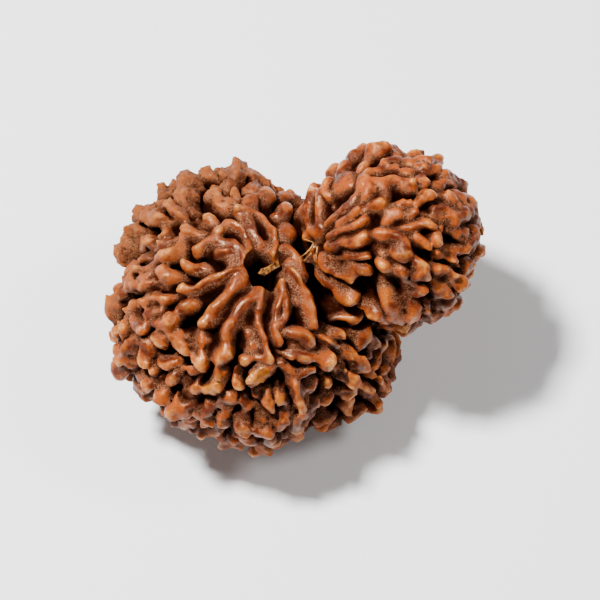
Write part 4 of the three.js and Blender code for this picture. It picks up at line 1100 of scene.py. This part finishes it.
def bleached(finish, clues, wood):
    """Wood with the few nubs that are worn pale, each fading out at its rim."""
    shares = []
    for bearing, polar, radius, amount in PALE_NUBS:
        reach = finish.reach(crest_point(BIG_BEAD, bearing, polar)[0])
        reach = finish.strayed(reach, clues.ripple, PALE_STRAY * MM)
        inner, outer = (share * radius * MM for share in PALE_EDGE)
        shares.append(finish.spread(reach, inner, outer, amount, 0.0))
    pale = functools.reduce(finish.most, shares)
    pale = finish.times(pale, finish.spread(clues.tip, *PALE_TIPS))
    return finish.mix(pale, wood, BONE_YELLOW)


# Dots are given by their spacing, their radius and the share of places that have none.
PIT_SHADE_DARK = (0.006, 0.0006, 0.0002)
DUST_DOTS = (0.24, 0.055, 0.5)
DUST_DOT_RANGE = (0.15, -0.1)
DUST_DOT_SHARE = 0.7
DARK_DOTS = (0.55, 0.075, 0.7)
DARK_DOT_SHARE = 0.8
SPECKLE_PORES = (0.47, 0.62, 0.0, 0.75)
SPECKLE_CLEAN = (0.0, 0.25, 1.0, 0.3)
LOW_SHADE_SHARE = 0.4
GROOVE_HOLLOW = (0.30, 0.66)
GROOVE_DEPTH = (1.1, 2.4)
GROOVE_EDGE = (-0.15, -0.6, 0.0, 0.9)
PIT_HOLLOW = (0.58, 0.82)
PIT_DEPTH = (1.9, 2.8)


def speckled(finish, clues, wood):
    """Pale and dark dots and pores, then painted shade: darker towards the bottom, brown in grooves and
    creases together with dark dirt there, and near-black in the deepest pits.
    """
    dust_dots = finish.dots(*DUST_DOTS)
    dust_dots = finish.times(dust_dots, finish.spread(clues.clean, *DUST_DOT_RANGE))
    wood = finish.mix(finish.times(dust_dots, DUST_DOT_SHARE), wood, DUST_BEIGE)
    wood = finish.mix(finish.times(finish.dots(*DARK_DOTS), DARK_DOT_SHARE), wood, PORE_AND_SHADE_BROWN)
    speckle = finish.spread(clues.pores, *SPECKLE_PORES)
    speckle = finish.times(speckle, finish.spread(clues.clean, *SPECKLE_CLEAN))
    wood = finish.mix(speckle, wood, PORE_AND_SHADE_BROWN)
    # Painted shade: the wood is darker towards the bottom of the seed.
    wood = finish.mix(finish.times(clues.low, LOW_SHADE_SHARE), wood, PORE_AND_SHADE_BROWN)
    # Painted shade together with dark dirt: brown in hollows, deep below the crests and in creases.
    groove_dirt_and_shade = finish.spread(clues.hollow, *GROOVE_HOLLOW)
    groove_dirt_and_shade = finish.most(groove_dirt_and_shade, finish.spread(clues.depth, *GROOVE_DEPTH))
    groove_dirt_and_shade = finish.most(groove_dirt_and_shade, finish.spread(clues.edge, *GROOVE_EDGE))
    wood = finish.mix(groove_dirt_and_shade, wood, PORE_AND_SHADE_BROWN)
    # Painted shade: near black where the surface lies deepest and most enclosed.
    pit_shade = finish.spread(clues.hollow, *PIT_HOLLOW)
    pit_shade = finish.most(pit_shade, finish.spread(clues.depth, *PIT_DEPTH))
    return finish.mix(pit_shade, wood, PIT_SHADE_DARK)


SHEEN_AMBER = (1.0, 0.62, 0.38)
GLOSS_RANGE = (0.10, 0.32)
GLOSS_DRY = (0, 1, 1, 0.3)
GLOSS_PATCHES = (0.42, 0.56, 0.35, 1.0)
GLOSS_LOW = (0, 1, 1.0, 0.35)
GLOSS_REACH = (9.0 * MM, 16.0 * MM, 1.0, 0.6)
ROUGHNESS = (0.62, 0.10)
DULL_GRAIN = (0.35, 0.65, -0.03, 0.08)
SPECULAR = (0.04, 0.8)


def add_gloss(finish, clues):
    """Worn crests shine, less so where they are dry, low down or far from the stalk hole."""
    gloss = finish.spread(clues.clean, *GLOSS_RANGE)
    gloss = finish.times(gloss, finish.spread(clues.dry, *GLOSS_DRY))
    gloss = finish.times(gloss, finish.spread(clues.ripple, *GLOSS_PATCHES))
    gloss = finish.times(gloss, finish.spread(clues.low, *GLOSS_LOW))
    gloss = finish.times(gloss, finish.spread(clues.from_hole, *GLOSS_REACH))
    dull = finish.spread(gloss, 0, 1, *ROUGHNESS)
    dull = finish.plus(dull, finish.spread(clues.grain, *DULL_GRAIN))
    finish.feed(finish.shader.inputs["Roughness"], dull)
    finish.feed(finish.shader.inputs["Specular IOR Level"], finish.spread(gloss, 0, 1, *SPECULAR))
    finish.feed(finish.shader.inputs["Specular Tint"], (*SHEEN_AMBER, 1))


BUMP_HEIGHT = 0.24
BUMP_CLEAN = (0.0, 0.25, 1.0, 0.28)
BUMP_DRY = 0.8
BUMP_PORES = 0.6
NODULE_SIZE = 0.85
NODULE_REACH = (7.0 * MM, 13.0 * MM, -0.15, -0.6)


def add_fine_bumps(finish, clues):
    """Grain, pores and round nodules, lowest where the wood is worn smooth."""
    strength = finish.spread(clues.clean, *BUMP_CLEAN)
    strength = finish.most(strength, finish.times(clues.dry, BUMP_DRY))
    nodules = finish.cells(NODULE_SIZE)["Distance"]
    nodules = finish.times(nodules, finish.spread(clues.from_hole, *NODULE_REACH))
    height = finish.plus(clues.grain, finish.times(clues.pores, BUMP_PORES))
    height = finish.plus(height, nodules)
    sockets = {"Strength": strength, "Distance": BUMP_HEIGHT * MM, "Height": height}
    finish.feed(finish.shader.inputs["Normal"], finish.add("ShaderNodeBump", sockets)["Normal"])


def shell_material():
    finish = Finish("seed_shell")
    clues = wood_clues(finish)
    wood = weathered(finish, clues, bare_wood(finish, clues))
    wood = speckled(finish, clues, bleached(finish, clues, wood))
    finish.feed(finish.shader.inputs["Base Color"], wood)
    add_gloss(finish, clues)
    add_fine_bumps(finish, clues)
    return finish.material


seed.data.materials.clear()
seed.data.materials.append(shell_material())
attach(seed, "root")
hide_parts("joined_beads")

# Dry fibres, left of the plant's stringy stalk. They are thin, bent and pale brown, and grew
# out of the small bead's stalk end. Sizes are millimetres. Each fibre is its radius, and the
# places where it starts, bows to and ends.
FIBRES = (
    (0.13, (6.75, 2.10, 22.45), (6.25, 1.25, 22.05), (5.10, 0.05, 22.85)),
    (0.10, (6.45, 1.15, 21.95), (6.00, 0.60, 21.90), (5.65, 0.10, 22.25)),
    (0.11, (7.05, 1.55, 22.55), (7.00, 0.75, 22.45), (6.70, -0.20, 22.75)),
    (0.08, (5.75, 2.55, 22.30), (6.20, 2.35, 22.50), (6.65, 2.00, 22.60)),
)
FIBRE_STEPS = 10
FIBRE_SIDES = 6
FIBRE_STRAY = 0.05
FIBRE_TAPER = 0.6
FIBRE_SEED = 31
FIBRE_COLOURS = ((0.15, 0.05, 0.012), (0.42, 0.20, 0.055))
FIBRE_STREAKS = 0.3
STREAK_RANGE = (0.4, 0.6)
STALK_ROUGHNESS = 0.6
STALK_SPECULAR = 0.15


def stray(draw, amount):
    """A small random shift, up to half the amount along each axis."""
    return amount * np.array([draw() - 0.5 for _ in range(3)])


def fibre_points(start, middle, end, draw):
    """Places along a bent thread, each strayed a little from the smooth bow."""
    start, middle, end = (np.array(place) for place in (start, middle, end))
    places = []
    for step in range(FIBRE_STEPS + 1):
        share = step / FIBRE_STEPS
        bow = (1 - share) ** 2 * start + 2 * share * (1 - share) * middle + share**2 * end
        places.append(bow + stray(draw, FIBRE_STRAY))
    return places


def add_fibre(vertices, faces, places, radius):
    """A round thread that tapers to its far end, closed at both ends."""
    first = len(vertices)
    for index, place in enumerate(places):
        onward = places[min(index + 1, len(places) - 1)] - places[max(index - 1, 0)]
        onward = onward / np.linalg.norm(onward)
        side = np.cross(onward, (0, 0, 1))
        side = side / np.linalg.norm(side)
        up = np.cross(side, onward)
        width = radius * (1 - FIBRE_TAPER * index / (len(places) - 1))
        for corner in range(FIBRE_SIDES):
            turn = 2 * math.pi * corner / FIBRE_SIDES
            vertices.append((place + width * (math.cos(turn) * side + math.sin(turn) * up)) * MM)
    for index in range(len(places) - 1):
        ring = first + index * FIBRE_SIDES
        for corner in range(FIBRE_SIDES):
            a, b = ring + corner, ring + (corner + 1) % FIBRE_SIDES
            faces.append((a, b, b + FIBRE_SIDES, a + FIBRE_SIDES))
    last = first + (len(places) - 1) * FIBRE_SIDES
    faces.append(tuple(range(first + FIBRE_SIDES - 1, first - 1, -1)))
    faces.append(tuple(range(last, last + FIBRE_SIDES)))


def stalk_material(name, colours, streak_size):
    """Dry stalk, streaked from a darker to a paler brown and almost without shine."""
    finish = Finish(name)
    streaks = finish.spread(finish.noise(streak_size), *STREAK_RANGE)
    finish.feed(finish.shader.inputs["Base Color"], finish.mix(streaks, *colours))
    finish.feed(finish.shader.inputs["Roughness"], STALK_ROUGHNESS)
    finish.feed(finish.shader.inputs["Specular IOR Level"], STALK_SPECULAR)
    return finish.material


fibre_draw = make_draw(FIBRE_SEED)
fibre_vertices, fibre_faces = [], []
for radius, *path in FIBRES:
    add_fibre(fibre_vertices, fibre_faces, fibre_points(*path, fibre_draw), radius)
fibre_mesh = bpy.data.meshes.new("stalk_fibres")
fibre_mesh.from_pydata([tuple(vertex) for vertex in fibre_vertices], [], fibre_faces)
fibre_mesh.shade_smooth()
fibres = bpy.data.objects.new("stalk_fibres", fibre_mesh)
bpy.context.scene.collection.objects.link(fibres)
fibre_mesh.materials.append(stalk_material("dry_fibre", FIBRE_COLOURS, FIBRE_STREAKS))
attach(fibres, "root")

# The photograph's view of the seed. It looks down from the front, and is as wide at the seed
# as the photograph is by the seed's real length. Sizes are metres.
CAMERA_ELEVATION = math.radians(64)
CAMERA_DISTANCE = 0.4
CAMERA_TARGET = Vector((0.005265, 0.0006625, 0.011923))
VIEW_WIDTH = 0.06318
PICTURE_SIDE = 600
back = Vector((0, -math.cos(CAMERA_ELEVATION), math.sin(CAMERA_ELEVATION)))
camera_place = CAMERA_TARGET + back * CAMERA_DISTANCE


def seen_at(across, down, height):
    """The place in millimetres that a pixel of the photograph shows at a height in millimetres."""
    upward = Vector((0, math.sin(CAMERA_ELEVATION), math.cos(CAMERA_ELEVATION)))
    shift = Vector((across - PICTURE_SIDE / 2, 0, 0)) + (PICTURE_SIDE / 2 - down) * upward
    sight = CAMERA_TARGET + shift * VIEW_WIDTH / PICTURE_SIDE - camera_place
    share = (height * MM - camera_place.z) / sight.z
    return np.array(camera_place + share * sight) / MM


# A torn flake of dry stalk, thin, brittle and brown, that is stuck in the mouth of the big
# stalk hole. Sizes are millimetres. Each corner of its edge is the photograph's pixel that it
# covers, across and down, and its height above the floor. Its middle is raised a little.
FLAKE_EDGE = (
    (265, 275.5, 20.9),
    (269.5, 272, 21.3),
    (274.5, 269, 21.7),
    (279.5, 266.5, 21.9),
    (278, 259.5, 22.4),
    (273, 263.5, 21.85),
    (267, 266.5, 21.4),
    (261, 268.5, 21.0),
    (258, 273.5, 20.7),
)
FLAKE_STRAY = 0.06
FLAKE_RISE = 0.12
FLAKE_THICK = 0.22
FLAKE_SEED = 17
FLAKE_COLOURS = ((0.022, 0.006, 0.001), (0.27, 0.10, 0.016))
FLAKE_STREAKS = 0.35
flake_draw = make_draw(FLAKE_SEED)
flake_top = [seen_at(*corner) + stray(flake_draw, FLAKE_STRAY) for corner in FLAKE_EDGE]
flake_vertices = [*flake_top, np.mean(flake_top, axis=0) + (0, 0, FLAKE_RISE)]
flake_vertices += [corner - (0, 0, FLAKE_THICK) for corner in flake_vertices]
edge_count = len(flake_top)
under = edge_count + 1
flake_faces = []
for corner in range(edge_count):
    following = (corner + 1) % edge_count
    flake_faces.append((corner, edge_count, following))
    flake_faces.append((under + following, under + edge_count, under + corner))
    flake_faces.append((corner, following, under + following, under + corner))
flake_mesh = bpy.data.meshes.new("stalk_flake")
flake_mesh.from_pydata([tuple(vertex * MM) for vertex in flake_vertices], [], flake_faces)
flake = bpy.data.objects.new("stalk_flake", flake_mesh)
bpy.context.scene.collection.objects.link(flake)
flake_mesh.materials.append(stalk_material("torn_stalk", FLAKE_COLOURS, FLAKE_STREAKS))
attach(flake, "root")

# The floor: a plain, pale, matt sheet that the seed lies on, free and unfixed. Its faint glow
# stands in for the light that a white studio throws back. Sizes from here on are metres.
FLOOR_HALF = 0.6
FLOOR_PAINT = {
    "Base Color": (0.9, 0.9, 0.9, 1),
    "Roughness": 0.7,
    "Emission Color": (1, 1, 1, 1),
    "Emission Strength": 0.08,
}
floor_mesh = bpy.data.meshes.new("floor")
floor_corners = [(FLOOR_HALF * x, FLOOR_HALF * y, 0) for x, y in ((-1, -1), (1, -1), (1, 1), (-1, 1))]
floor_mesh.from_pydata(floor_corners, [], [(0, 1, 2, 3)])
floor = bpy.data.objects.new("floor", floor_mesh)
bpy.context.scene.collection.objects.link(floor)
floor_paint = bpy.data.materials.new("floor_paint")
floor_paint.use_nodes = True
for name, value in FLOOR_PAINT.items():
    floor_paint.node_tree.nodes["Principled BSDF"].inputs[name].default_value = value
floor_mesh.materials.append(floor_paint)

# Soft studio light: a small strong lamp high up to the left, a weak one to the right, and an
# even white surround that keeps the shadows open. Power is given in watts.
LAMP_TARGET = (0.004, 0, 0.012)
KEY_LAMP = {"place": (-0.14, 0.04, 0.36), "width": 0.05, "watts": 4.9}
FILL_LAMP = {"place": (0.22, 0.02, 0.27), "width": 0.08, "watts": 0.5}
SURROUND_STRENGTH = 0.085


def add_lamp(name, place, width, watts):
    light = bpy.data.lights.new(name, "AREA")
    light.size = width
    light.energy = watts
    lamp = bpy.data.objects.new(name, light)
    bpy.context.scene.collection.objects.link(lamp)
    lamp.location = place
    lamp.rotation_mode = "QUATERNION"
    lamp.rotation_quaternion = (Vector(LAMP_TARGET) - Vector(place)).to_track_quat("-Z", "Y")


add_lamp("key_lamp", **KEY_LAMP)
add_lamp("fill_lamp", **FILL_LAMP)
surround = bpy.data.worlds.new("surround")
surround.use_nodes = True
surround.node_tree.nodes["Background"].inputs["Color"].default_value = (1, 1, 1, 1)
surround.node_tree.nodes["Background"].inputs["Strength"].default_value = SURROUND_STRENGTH
bpy.context.scene.world = surround

# The camera has the photograph's view, which is given further up.
CAMERA_CLEARANCE = 0.01
SENSOR = 36.0
camera = bpy.data.cameras.new("camera")
camera.sensor_width = SENSOR
camera.lens = SENSOR * CAMERA_DISTANCE / VIEW_WIDTH
camera.clip_start = CAMERA_CLEARANCE
camera_object = bpy.data.objects.new("camera", camera)
bpy.context.scene.collection.objects.link(camera_object)
camera_object.location = camera_place
camera_object.rotation_mode = "QUATERNION"
camera_object.rotation_quaternion = (-back).to_track_quat("-Z", "Y")
bpy.context.scene.camera = camera_object
